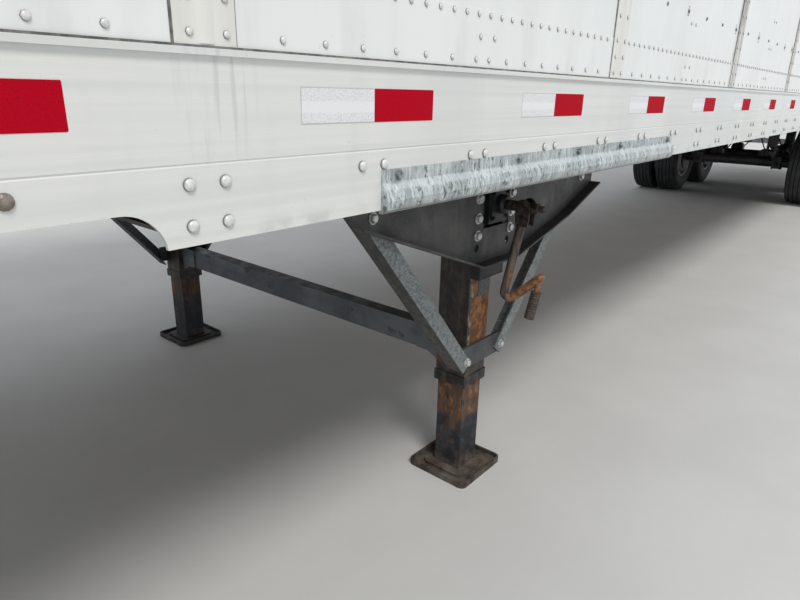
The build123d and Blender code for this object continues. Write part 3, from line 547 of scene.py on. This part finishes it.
class Many:
    """Collects the corners and faces of many small shapes for one mesh."""

    def __init__(self):
        self.verts, self.faces = [], []

    def add(self, verts, faces):
        start = len(self.verts)
        self.verts += verts
        self.faces += [[start + i for i in face] for face in faces]

    def prism(self, verts):
        """A closed solid between two like rings of corners, given one after the other."""
        count = len(verts) // 2
        faces = [list(range(count))[::-1], list(range(count, 2 * count))]
        faces += [[i, (i + 1) % count, count + (i + 1) % count, count + i] for i in range(count)]
        self.add(verts, faces)

    def tube(self, verts, rows):
        """A ring of rows, each of them a closed ring of corners, as in a tyre."""
        count = len(verts) // rows
        faces = []
        for row in range(rows):
            a, b = row * count, (row + 1) % rows * count
            faces += [[a + i, a + (i + 1) % count, b + (i + 1) % count, b + i]
                      for i in range(count)]
        self.add(verts, faces)

    def block(self, low, high, chamfer=0.0):
        """A block, with the corners of its outline seen from the side cut off by chamfer."""
        (x0, y0, z0), (x1, y1, z1), c = low, high, chamfer
        ring = [(x0, z0), (x1, z0), (x1, z1), (x0, z1)]
        if chamfer:
            ring = [(x0 + c, z0), (x1 - c, z0), (x1, z0 + c), (x1, z1 - c), (x1 - c, z1),
                    (x0 + c, z1), (x0, z1 - c), (x0, z0 + c)]
        self.prism([(x, y, z) for y in (y0, y1) for x, z in ring])

    def stack(self, centre, normal, rings, sides, twist=0.0):
        """Rings of (radius, height) about a normal, closed at both ends."""
        turn = Vector((0, 0, 1)).rotation_difference(Vector(normal)).to_matrix()
        verts = [tuple(Vector(centre) + turn @ Vector((x, y, height)))
                 for radius, height in rings for x, y in circle(radius, sides, twist)]
        faces = []
        for a in range(0, (len(rings) - 1) * sides, sides):
            b = a + sides
            faces += [[a + k, a + (k + 1) % sides, b + (k + 1) % sides, b + k]
                      for k in range(sides)]
        faces.append(list(range(sides))[::-1])
        faces.append(list(range(len(verts) - sides, len(verts))))
        self.add(verts, faces)

    def dome(self, centre, normal, radius, height, sides):
        """A rivet head."""
        rings = [(radius, 0), (radius * 0.92, height * 0.45), (radius * 0.62, height * 0.85),
                 (radius * 0.22, height)]
        self.stack(centre, normal, rings, sides)

    def bolt(self, centre, normal, radius, height):
        """A hexagon head on a round washer."""
        washer = height * 0.22
        self.stack(centre, normal, [(radius * 1.35, 0), (radius * 1.35, washer)], 14)
        self.stack(centre, normal, [(radius, washer), (radius, height * 0.88),
                                    (radius * 0.82, height)], 6, random.uniform(0, 1))

    def make(self, name, material, smooth=False, body="trailer"):
        """One mesh in the frame's own coordinates that rides on a body."""
        mesh = bpy.data.meshes.new(name)
        mesh.from_pydata(self.verts, [], self.faces)
        mesh.validate()
        bm = bmesh.new()
        bm.from_mesh(mesh)
        bmesh.ops.recalc_face_normals(bm, faces=bm.faces)
        bm.to_mesh(mesh)
        bm.free()
        mesh.materials.append(material)
        if smooth:
            mesh.shade_smooth()
        made = linked(name, mesh)
        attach(made, body)
        return made


def steps(start, end, pitch):
    """Evenly spaced places from start down to end."""
    return [start - pitch * i for i in range(int((start - end) / pitch) + 1)]


def rail_rivets(side, material):
    """Pairs of rivets at each crossmember, and single ones ahead of the leg."""
    many = Many()
    upper, lower, apart = 1.1895, 1.1375, 0.026
    for x in CROSS_XS:
        for dx in (-apart, apart):
            many.dome((x + dx, side * RAIL_Y, upper), (0, side, 0), *RAIL_HEAD)
            hidden = GUARD_REAR < x < GUARD_FRONT + 0.03 or x > 5.72
            if not hidden:
                many.dome((x + dx, side * RAIL_Y, lower), (0, side, 0), *RAIL_HEAD)
    for x in (LEG_X + 1.81, LEG_X + 2.2, 6.95, 7.35, 7.75):
        many.dome((x, side * RAIL_Y, 1.192), (0, side, 0), *POST_HEAD)
    many.make("rail_rivets_" + side_name(side), material, True)


def wall_rivets(side, material):
    """Rivet rows of the lower sheet lap and the columns at joint strips and posts."""
    many = Many()
    band = SKIN_Y + LAP_THICK
    low_z, middle_z, high_z = 1.365, 1.405, 1.4435
    low_row = [0.160 + 0.0772 * i for i in range(7)] + [0.668]
    low_row += [0.734 + 0.0755 * i for i in range(7)]
    high_row = [0.108 + 0.0398 * i for i in range(29)]

    def head(x, y, z):
        if FRAME_FRONT + 0.02 < x < FRONT_IN - 0.02:
            many.dome((x, side * y, z), (0, side, 0), *WALL_HEAD)
    for seam in [SEAMS[0] + SEAM_PITCH] + SEAMS:
        for offset in low_row:
            head(seam - offset, band, low_z)
        for offset in high_row:
            head(seam - offset, band, high_z)
        for offset in (0.020, 0.071):
            for z in [low_z, middle_z, 1.445] + steps(3.94, 1.502, 0.0594):
                head(seam - offset, STRIP_Y, z)
        for offset in (0.635, 0.684):
            head(seam - offset, band, middle_z)
            for z in steps(3.94, 1.53, 0.12):
                head(seam - offset, SKIN_Y, z)
    many.make("wall_rivets_" + side_name(side), material, True)


def strip_ribs(side, material, seam_shade):
    """Shallow pressed rib down each joint strip, and dark lines of painted shade at its two edges.
    """
    ribs, lines = Many(), Many()
    profile = [(0.030, 0), (0.034, 0.0009), (0.038, 0.0020), (0.0425, 0.0025), (0.047, 0.0020),
               (0.051, 0.0009), (0.055, 0)]
    for seam in SEAMS:
        if seam - STRIP_WIDE < FRAME_FRONT:
            continue
        ring = [(seam - x, side * (STRIP_Y + y)) for x, y in profile]
        ribs.prism([(x, y, z) for z in (LIP_Z + 0.005, WALL_TOP) for x, y in ring])
        # painted shade: thin dark lines at the strip's edges, where its step meets the sheet
        low, high = layer(side, SKIN_Y, 0.0022)
        for front, wide in ((seam + 0.0035, 0.0038), (seam - STRIP_WIDE, 0.0015)):
            lines.block((front - wide, low, LIP_Z + 0.004), (front, high, WALL_TOP))
    made = ribs.make("strip_ribs_" + side_name(side), material, True)
    made.data.set_sharp_from_angle(angle=math.radians(50))
    lines.make("strip_edge_shade_" + side_name(side), seam_shade)


def liner_fasteners(side, material):
    """The scuffed row of fasteners that hold the inner lining, some inside a rubbed ring."""
    many, pitch, lift, wide, count = Many(), 0.2117, 0.0004, 0.0014, 20
    for x in steps(LEG_X - 0.421 + 16 * pitch, FRAME_FRONT + 0.05, pitch):
        rubbed, size = random.random() < 0.30, random.uniform(0.009, 0.015)
        if any(seam - 0.09 < x < seam + 0.005 for seam in SEAMS):
            continue
        z = 1.570 + random.uniform(-0.002, 0.002)
        many.dome((x, side * SKIN_Y, z), (0, side, 0), *LINER_HEAD)
        if rubbed:
            corners = [(2 * math.pi * k / count, random.uniform(0.75, 1.25))
                       for k in range(count)]
            rings = ((size, 0), (size, lift), (size - wide, lift), (size - wide, 0))
            many.tube([(x + r * u * math.cos(a), side * (SKIN_Y + y), z + 1.5 * r * u * math.sin(a))
                       for r, y in rings for a, u in corners], len(rings))
    many.make("liner_fasteners_" + side_name(side), material, True)


def lap_bands(side, material, seam_shade):
    """Lower sheet lap between the joint strips, and a dark line of painted shade in the gap over
    the rail's lip.
    """
    many, gap = Many(), Many()
    edges = [FRONT_IN] + [edge for s in SEAMS for edge in (s, s - STRIP_WIDE)] + [FRAME_FRONT]
    low, high = layer(side, SKIN_Y, LAP_THICK)
    for front, rear in zip(edges[0::2], edges[1::2]):
        if front - rear > 0.01:
            many.block((rear + 0.001, low, LIP_Z + 0.0035), (front - 0.001, high, LAP_TOP))
    # painted shade: a dark line in the gap between the rail's lip and the sheet
    low, high = layer(side, SKIN_Y, 0.0045)
    gap.block((FRAME_FRONT, low, LIP_Z), (FRONT_IN, high, LIP_Z + 0.0032))
    many.make("lap_band_" + side_name(side), material)
    gap.make("lip_gap_shade_" + side_name(side), seam_shade)


def tape(side, red, white):
    """Pairs of a white and a red strip of reflective tape along one side rail."""
    low, high = layer(side, RAIL_Y, TAPE_THICK)
    for label, offset, material in (("white", 0.0, white), ("red", TAPE_LONG, red)):
        many = Many()
        for i in range(-5, 20):
            front = TAPE_FIRST - TAPE_PITCH * i - offset
            rear = front - TAPE_LONG
            if front <= FRONT_IN and rear >= FRAME_FRONT:
                many.block((rear, low, TAPE_LOW), (front, high, TAPE_HIGH), 0.0012)
        many.make(f"{label}_tape_{side_name(side)}", material)


def rear_tape(red, white):
    """Red and white tape across sill and bumper, white angles at the top corners."""
    x0, x1, high = DOOR_FACE - TAPE_THICK, DOOR_FACE, 0.0508
    outer, inner, corner_z = 1.287, 0.982, 3.962
    for label, material, first in (("white", white, 0), ("red", red, 1)):
        many = Many()
        for low, count in ((1.1185, 13), (0.5246, 15)):
            for i in range(first, count, 2):
                y = (i - count / 2) * TAPE_LONG
                many.block((x0, y, low), (x1, y + TAPE_LONG, low + high))
        if label == "white":
            for side in (1, -1):
                a, b = sorted((side * outer, side * inner))
                many.block((x0, a, corner_z), (x1, b, corner_z + high))
                a, b = sorted((side * outer, side * (outer - high)))
                many.block((x0, a, corner_z - 0.100), (x1, b, corner_z))
        many.make(f"rear_{label}_tape", material)


def gear_bolts(side, bright, dark, worn):
    """Bolts of one leg's bracket plate, braces and guard, and one on the rail ahead of it."""
    out = (0, side, 0)
    plate_bolts = [(dx, PLATE_Y, z, 0.0125, 0.012)
                   for dx in (-0.090, 0.098) for z in (1.008, 0.948, 0.895)]
    plate_bolts += [(dx, PLATE_Y, 1.014, 0.0115, 0.011) for dx in (-0.60, 0.565)]
    plate_bolts += [(dx, BRACE_Y, z, 0.0115, 0.012) for dx, z in ((0.076, 0.457), (-0.133, 0.461))]
    many, rail, guard = Many(), Many(), Many()
    for dx, y, z, radius, height in plate_bolts:
        many.bolt((LEG_X + dx, side * y, z), out, radius, height)
    many.make("bracket_bolts_" + side_name(side), bright)
    rail.dome((LEG_X + 1.417, side * RAIL_Y, 1.192), out, 0.0095, 0.006, 14)
    rail.make("rail_bolt_" + side_name(side), dark)
    for dx in (0.820, 0.411, 0.107, -0.173, -0.590):
        guard.bolt((LEG_X + dx, side * GUARD_Y, 1.169), out, 0.0075, 0.007)
    guard.make("guard_bolts_" + side_name(side), worn)


def gearbox_parts(material, blank):
    """Cover and bolts of the gearbox, and a blank plate on the leg below it."""
    many, half, thick = Many(), 0.046, 0.006
    many.block((LEG_X - half, GEARBOX_Y, 0.934), (LEG_X + half, GEARBOX_Y + thick, 1.026), 0.012)
    for dx in (-0.037, 0.037):
        for z in (0.943, 1.017):
            many.bolt((LEG_X + dx, GEARBOX_Y + thick, z), (0, 1, 0), 0.0055, 0.006)
    boss = [(0.030, 0), (0.030, 0.022), (0.024, 0.030), (0.0165, 0.030)]
    many.stack((LEG_X, GEARBOX_Y, SHAFT_Z), (0, 1, 0), boss, 28)
    many.make("gearbox_cover", material)
    plate = Many()
    plate.block((LEG_X - 0.055, LEG_FACE, 0.668), (LEG_X + 0.010, LEG_FACE + 0.0015, 0.728), 0.004)
    plate.make("blank_plate", blank)


def crank_yoke(material):
    """Two cheeks, pins and threaded end that hold the arm on its shaft."""
    many = Many()
    x, y, z, pin_drop, end_y = LEG_X, GEARBOX_Y + 0.094, SHAFT_Z, 0.034, 1.140
    half = [(0.019, -0.056), (0.023, -0.030), (0.024, 0.002), (0.019, 0.016), (0.010, 0.0235)]
    outline = half + [(0.0, 0.026)] + [(-dy, dz) for dy, dz in reversed(half)]
    for cheek in ((0.0162, 0.0222), (-0.0222, -0.0162)):
        many.prism([(x + dx, y + dy, z + dz) for dx in cheek for dy, dz in outline])
    for drop, radius in ((0.0, 0.0075), (pin_drop, 0.006)):
        many.stack((x - 0.029, y, z - drop), (1, 0, 0), [(radius, 0), (radius, 0.058)], 12)
    nut = [(0.011, 0), (0.011, 0.005), (0.009, 0.006)]
    many.stack((x + 0.0222, y, z - pin_drop), (1, 0, 0), nut, 6)
    crest, root, pitch = 0.0105, 0.0085, 0.0035
    thread = [(crest, -0.004)]
    for i in range(7):
        thread += [(crest, pitch * i), (root, pitch * i + 0.0017)]
    many.stack((x, end_y, z), (0, 1, 0), thread + [(crest, 0.0245), (0.008, 0.026)], 16)
    nut = [(0.0175, -0.002), (0.0175, 0.0045), (0.0155, 0.0065)]
    many.stack((x, end_y, z), (0, 1, 0), nut, 6)
    many.make("crank_yoke", material)


def ribbed_grip(material):
    """Ribbed sleeve of the crank, in place of the plain one."""
    start, end = Vector((LEG_X - 0.02136, 1.15416, 0.7244)), Vector((LEG_X - 0.003, 1.146, 0.636))
    length, ribs, bore, valley, crest = (end - start).length, 11, 0.0120, 0.0147, 0.0165
    rings = [(bore, 0.0005)]
    for i in range(ribs):
        a, b = length * i / ribs, length * (i + 1) / ribs
        rings += [(valley, a + 0.0006), (crest, a + (b - a) * 0.25), (crest, a + (b - a) * 0.7),
                  (valley, b - 0.0006)]
    rings.append((bore, length - 0.0005))
    many = Many()
    many.stack(start, (end - start).normalized(), rings, 20)
    made = many.make("ribbed_grip", material, True)
    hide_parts("crank_grip")


# Route of a brake hose: ahead of its cross beam, share of the way out, below its start
HOSE_ROUTE = [
    (0, 0, 0), (0.060, 0, 0), (0.115, 0.05, 0.035), (0.140, 0.15, 0.098), (0.147, 0.3, 0.168),
    (0.141, 0.45, 0.238), (0.152, 0.65, 0.306), (0.188, 0.85, 0.354), (0.242, 1, 0.369),
    (0.291, 1, 0.352), (0.341, 1, 0.352)]


def hose(name, start_x, side, material):
    """A brake hose, hanging from the bogie's cross beam to a chamber."""
    data = bpy.data.curves.new(name, "CURVE")
    data.dimensions = "3D"
    data.bevel_depth, data.bevel_resolution, data.resolution_u = 0.008, 3, 8
    data.use_fill_caps = True
    spline = data.splines.new("NURBS")
    spline.points.add(len(HOSE_ROUTE) - 1)
    for point, (ahead, across, down) in zip(spline.points, HOSE_ROUTE):
        point.co = (start_x + ahead, side * (0.120 + 0.188 * across), 0.940 - down, 1.0)
    spline.order_u, spline.use_endpoint_u = 3, True
    data.materials.append(material)
    made = linked(name, data)
    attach(made, "trailer")
    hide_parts("air_hoses")


def on_wheel(axle, side, out, radius, angle):
    """A point at a distance out from the trailer's middle and a radius from the axle."""
    return (AXLES[axle] + radius * math.cos(angle), side * out, AXLE_Z + radius * math.sin(angle))


def tyre_rings():
    """Outline of a tyre as (along the axle, radius), closed, with its tread ribs."""
    half = [(0.092, 0.2865), (0.110, 0.2865), (0.118, 0.305), (0.131, 0.345), (0.139, 0.395),
            (0.1395, 0.420), (0.136, 0.450), (0.1335, 0.452), (0.131, 0.470), (0.122, 0.492),
            (0.116, 0.5035)]
    for groove in (0.075, 0.026):
        half += [(groove + 0.006, 0.508), (groove + 0.0035, 0.494),
                 (groove - 0.0035, 0.494), (groove - 0.006, 0.508)]
    return half + [(-y, r) for y, r in reversed(half)] + [(-0.105, 0.465), (0.105, 0.465)]


def tyre_pair(axle, side, material):
    """The two tyres of one dual wheel, with ribs, grooves and shoulder notches."""
    many, outline, turns, notch, every = Many(), tyre_rings(), 120, 0.008, 4
    for middle in TYRE_YS:
        verts = []
        for k in range(turns):
            for y, r in outline:
                shoulder = 0.118 < abs(y) < 0.135 and r > 0.46
                if shoulder and k % every == 0:
                    r -= notch
                verts.append(on_wheel(axle, side, middle + y, r, 2 * math.pi * k / turns))
        many.tube(verts, turns)
    name = f"{axle}_{side_name(side)}"
    made = many.make("road_tyres_" + name, material, True, name + "_wheels")
    made.data.set_sharp_from_angle(angle=math.radians(35))
    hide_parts(f"tyres_{name}")


def open_wheel(axle, side):
    """The wheel pair with hand holes through its bolted discs, in place of the plain one."""
    name = f"{axle}_{side_name(side)}"
    node = nodes["wheel_" + name]
    solid = linked("solid", node.data.copy())
    solid.data.transform(node.matrix_world)
    many, holes, corners, disc = Many(), 5, 24, (0.968, 1.012)
    middle_r, half_high, half_wide = 0.193, 0.024, 0.034
    for x, z in circle(1, holes, math.pi / holes):
        out, along = Vector((x, z)), Vector((-z, x))
        ring = [out * (middle_r + half_high * u) + along * half_wide * v
                for u, v in circle(1, corners)]
        many.prism([(AXLES[axle] + p.x, side * y, AXLE_Z + p.y) for y in disc for p in ring])
    cutter = many.make("cutter", node.data.materials[0])
    cut = solid.modifiers.new("holes", "BOOLEAN")
    cut.operation, cut.solver, cut.object = "DIFFERENCE", "EXACT", cutter
    done = solid.evaluated_get(bpy.context.evaluated_depsgraph_get())
    mesh = bpy.data.meshes.new_from_object(done)
    for old in (solid, cutter):
        bpy.data.objects.remove(old)
    made = linked("open_wheel_" + name, mesh)
    mesh.shade_smooth()
    mesh.set_sharp_from_angle(angle=math.radians(30))
    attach(made, name + "_wheels")
    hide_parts(node.name)


def wheel_nuts(axle, side, material):
    """Nuts with their studs on the disc, and the bolts of the hub cap."""
    many, out = Many(), (0, side, 0)
    nut = [(0.021, 0), (0.021, 0.005), (0.0165, 0.006), (0.0165, 0.024), (0.013, 0.028)]
    stud = [(0.011, 0.026), (0.011, 0.045), (0.009, 0.047)]
    for k in range(10):
        spot = on_wheel(axle, side, DISC_Y, 0.143, math.pi / 5 * k)
        many.stack(spot, out, nut, 6)
        many.stack(spot, out, stud, 8)
    for k in range(8):
        many.dome(on_wheel(axle, side, HUB_Y, 0.062, math.pi / 4 * k), out, 0.006, 0.006, 6)
    name = f"{axle}_{side_name(side)}"
    many.make("wheel_nuts_" + name, material, body=name + "_wheels")


def door_trim(side, seal, bolts):
    """Rubber seal round one door, open at its hinges, and the rivets of its hinge leaves."""
    name = side_name(side)
    inner, outer, low, high, wide, hinge_half = 0.005, 1.222, 1.260, 3.949, 0.024, 0.040
    strips = [(inner, outer, low, low + wide), (inner, outer, high - wide, high),
              (inner, 0.027, low + wide, high - wide)]
    lows = [low + wide] + [z + hinge_half for z in HINGE_ZS]
    highs = [z - hinge_half for z in HINGE_ZS] + [high - wide]
    strips += [(outer - wide, outer, z0, z1) for z0, z1 in zip(lows, highs)]
    rubber_seal, heads = Many(), Many()
    for y0, y1, z0, z1 in strips:
        a, b = sorted((side * y0, side * y1))
        rubber_seal.block((DOOR_FACE - 0.006, a, z0), (DOOR_FACE, b, z1))
    rubber_seal.make("door_seal_" + name, seal, body=name + "_door")
    for z in HINGE_ZS:
        for y in (1.07, 1.12, 1.17):
            heads.dome((DOOR_FACE - 0.008, side * y, z), (-1, 0, 0), 0.009, 0.005, 8)
    heads.make("hinge_rivets_" + name, bolts, body=name + "_door")


def front_rivets(material):
    """Rivets of the front wall: pairs of columns, and a row at top and bottom."""
    many = Many()
    spots = [(y, z) for y in (-0.92, -0.86, -0.31, -0.25, 0.31, 0.25, 0.92, 0.86)
             for z in steps(4.00, 1.25, 0.09)]
    spots += [(y, z) for z in (1.20, 4.08) for y in steps(1.20, -1.20, 0.06)]
    for y, z in spots:
        many.dome((FRONT, y, z), (1, 0, 0), *PANEL_HEAD)
    many.make("front_rivets", material, True)


def roof_rivets(material):
    """A row of rivets over each roof bow."""
    many = Many()
    for x in steps(FRONT_IN - 0.300, FRAME_FRONT + 0.2, 0.615):
        for y in steps(1.24, -1.24, 0.124):
            many.dome((x, y, ROOF_Z), (0, 0, 1), *PANEL_HEAD)
    many.make("roof_rivets", material, True)


def finish_nodes(wall, zinc, flap, tyre):
    """Gives every carried-over node its finish."""
    steel, black, crank, roof_skin = bare_steel(), black_steel(), crank_finish(), aluminium()
    strap = grey_paint("strap_paint", (0.042, 0.046, 0.050), (0.085, 0.090, 0.096))
    paint = wheel_paint()
    finishes = {}
    for finish, names in (
            (wall, "side_wall_left side_wall_right door_left door_right front_wall rear_frame"),
            (white_rail(), "side_rails"), (roof_skin, "roof top_rails"), (wood_floor(), "floor"),
            (zinc, "roof_bows flap_hangers rear_bumper front_couplings hinge_butts "
                   "lock_rods_left lock_rods_right"),
            (black, "crossmembers upper_coupler bogie_frame leaf_springs axle_front axle_rear "
                    "brake_chambers air_tank"),
            (steel, "kingpin slider_pins"), (galvanised("slider_zinc", 0.6), "slider_rails"),
            (streaked_zinc(), "rail_guards"), (brace_zinc(), "leg_braces"),
            (grey_paint(), "leg_brackets"), (strap, "brace_straps"), (outer_leg(), "outer_legs"),
            (inner_leg(), "inner_legs"), (shoe_finish(), "sand_shoes"),
            (beam_paint(), "cross_channel"), (crank, "cross_shaft crank_handle"),
            (flap, "air_hoses mud_flaps crank_grip"), (lens(), "lamps")):
        finishes.update(dict.fromkeys(names.split(), finish))
    for name, node in nodes.items():
        finish = finishes.get(name) or (tyre if name.startswith("tyres") else paint)
        node.data.materials.clear()
        node.data.materials.append(finish)


def dress():
    """Finishes the carried-over nodes and adds the small parts."""
    wall, zinc, flap, tyre = white_wall(), galvanised(), rubber("flap_rubber", 0.6), rubber()
    finish_nodes(wall, zinc, flap, tyre)
    rivet, red, white = rivet_heads(), red_tape(), white_tape()
    bolt = plain("bolt_zinc", (0.64, 0.65, 0.65), (0.38, 0.385, 0.38), 120, 0.4, 0.5)
    nut = plain("wheel_nut", (0.16, 0.13, 0.11), (0.30, 0.27, 0.24), 80, 0.5, 0.5)
    worn = plain("worn_zinc", (0.34, 0.365, 0.375), (0.11, 0.115, 0.115), 150, 0.42, 0.5)
    scuffed = plain("scuffed_head", (0.06, 0.06, 0.06), (0.30, 0.29, 0.28), 160, 0.6, 0.3)
    # painted shade for the joint lines at the strips and the rail's lip
    seam_shade = plain("painted_seam_shade", (0.09, 0.09, 0.09), (0.24, 0.235, 0.23), 60, 0.8)
    grip = plain("grip_rubber", (0.03, 0.025, 0.022), (0.10, 0.06, 0.04), 90, 0.7)
    cover = plain("gearbox_black", (0.005, 0.006, 0.008), (0.020, 0.020, 0.021), 60, 0.5, 0.1)
    blank = plain("blank_plate_grey", (0.055, 0.060, 0.066), (0.10, 0.10, 0.10), 90, 0.5, 0.4)
    yoke = plain("yoke_steel", (0.012, 0.011, 0.011), (0.075, 0.055, 0.042), 70, 0.55, 0.3)
    for side in (1, -1):
        rail_rivets(side, rivet)
        wall_rivets(side, rivet)
        liner_fasteners(side, scuffed)
        lap_bands(side, wall, seam_shade)
        strip_ribs(side, wall, seam_shade)
        tape(side, red, white)
        gear_bolts(side, bolt, nut, worn)
        door_trim(side, flap, bolt)
    gearbox_parts(cover, blank)
    crank_yoke(yoke)
    ribbed_grip(grip)
    for axle, start_x in HOSE_STARTS.items():
        for side in (1, -1):
            hose(f"brake_hose_{axle}_{side_name(side)}", start_x, side, flap)
    rear_tape(red, white)
    front_rivets(rivet)
    roof_rivets(rivet)
    for axle in AXLES:
        for side in (1, -1):
            tyre_pair(axle, side, tyre)
            open_wheel(axle, side)
            wheel_nuts(axle, side, nut)


def floor():
    """Plain pale floor."""
    half = 60.0
    mesh = bpy.data.meshes.new("pale_floor")
    corners = [(-half, -half, 0), (half, -half, 0), (half, half, 0), (-half, half, 0)]
    mesh.from_pydata(corners, [], [(0, 1, 2, 3)])
    f = Finish("floor_grey", rough=0.9)
    f.colour(f.mix(f.ramp(f.noise(2.0, 4), 0.3, 0.7), (0.62, 0.62, 0.61), (0.66, 0.66, 0.65)))
    mesh.materials.append(f.material)
    linked("pale_floor", mesh)


def light():
    """Soft sky, dimmer as a light than as it is seen, and one broad soft sun."""
    as_light, as_seen = 0.62, 1.0
    world = bpy.data.worlds.new("pale_sky")
    bpy.context.scene.world = world
    world.use_nodes = True
    tree = world.node_tree
    back = tree.nodes["Background"]
    back.inputs["Color"].default_value = (0.93, 0.96, 1.0, 1.0)
    path = tree.nodes.new("ShaderNodeLightPath")
    seen = path.outputs["Is Camera Ray"]
    for ray in ("Is Glossy Ray", "Is Transmission Ray"):
        both = tree.nodes.new("ShaderNodeMath")
        both.operation = "MAXIMUM"
        tree.links.new(seen, both.inputs[0])
        tree.links.new(path.outputs[ray], both.inputs[1])
        seen = both.outputs[0]
    level = tree.nodes.new("ShaderNodeMapRange")
    level.inputs["To Min"].default_value = as_light
    level.inputs["To Max"].default_value = as_seen
    tree.links.new(seen, level.inputs["Value"])
    tree.links.new(level.outputs[0], back.inputs["Strength"])
    sun = bpy.data.lights.new("soft_sun", "SUN")
    sun.energy, sun.angle = 1.7, math.radians(18)
    sun.color = (1.0, 0.97, 0.92)
    lamp = linked("soft_sun", sun)
    lamp.rotation_euler = Vector((0.35, 0.62, 0.95)).to_track_quat("Z", "Y").to_euler()


def camera():
    """The photograph's view: place, aim and lens from the fitted camera."""
    yaw, pitch, roll, focal, photo_wide = -0.8717, -0.33349, 0.0220, 599.48, 800
    level = math.cos(pitch)
    ahead = Vector((math.sin(yaw) * level, -math.cos(yaw) * level, math.sin(pitch)))
    flat = ahead.cross(Vector((0, 0, 1))).normalized()
    rise = flat.cross(ahead)
    right = math.cos(roll) * flat + math.sin(roll) * rise
    up = -math.sin(roll) * flat + math.cos(roll) * rise
    data = bpy.data.cameras.new("camera")
    data.sensor_width = 36.0
    data.lens = focal / photo_wide * data.sensor_width
    data.clip_start, data.clip_end = 0.05, 200
    made = linked("camera", data)
    turn = Matrix((right, up, -ahead)).transposed().to_4x4()
    made.matrix_world = Matrix.Translation((LEG_X + 1.61481, 1.97422, 1.30284)) @ turn
    bpy.context.scene.camera = made


dress()
floor()
light()
camera()
bpy.context.scene.view_settings.view_transform = "Standard"
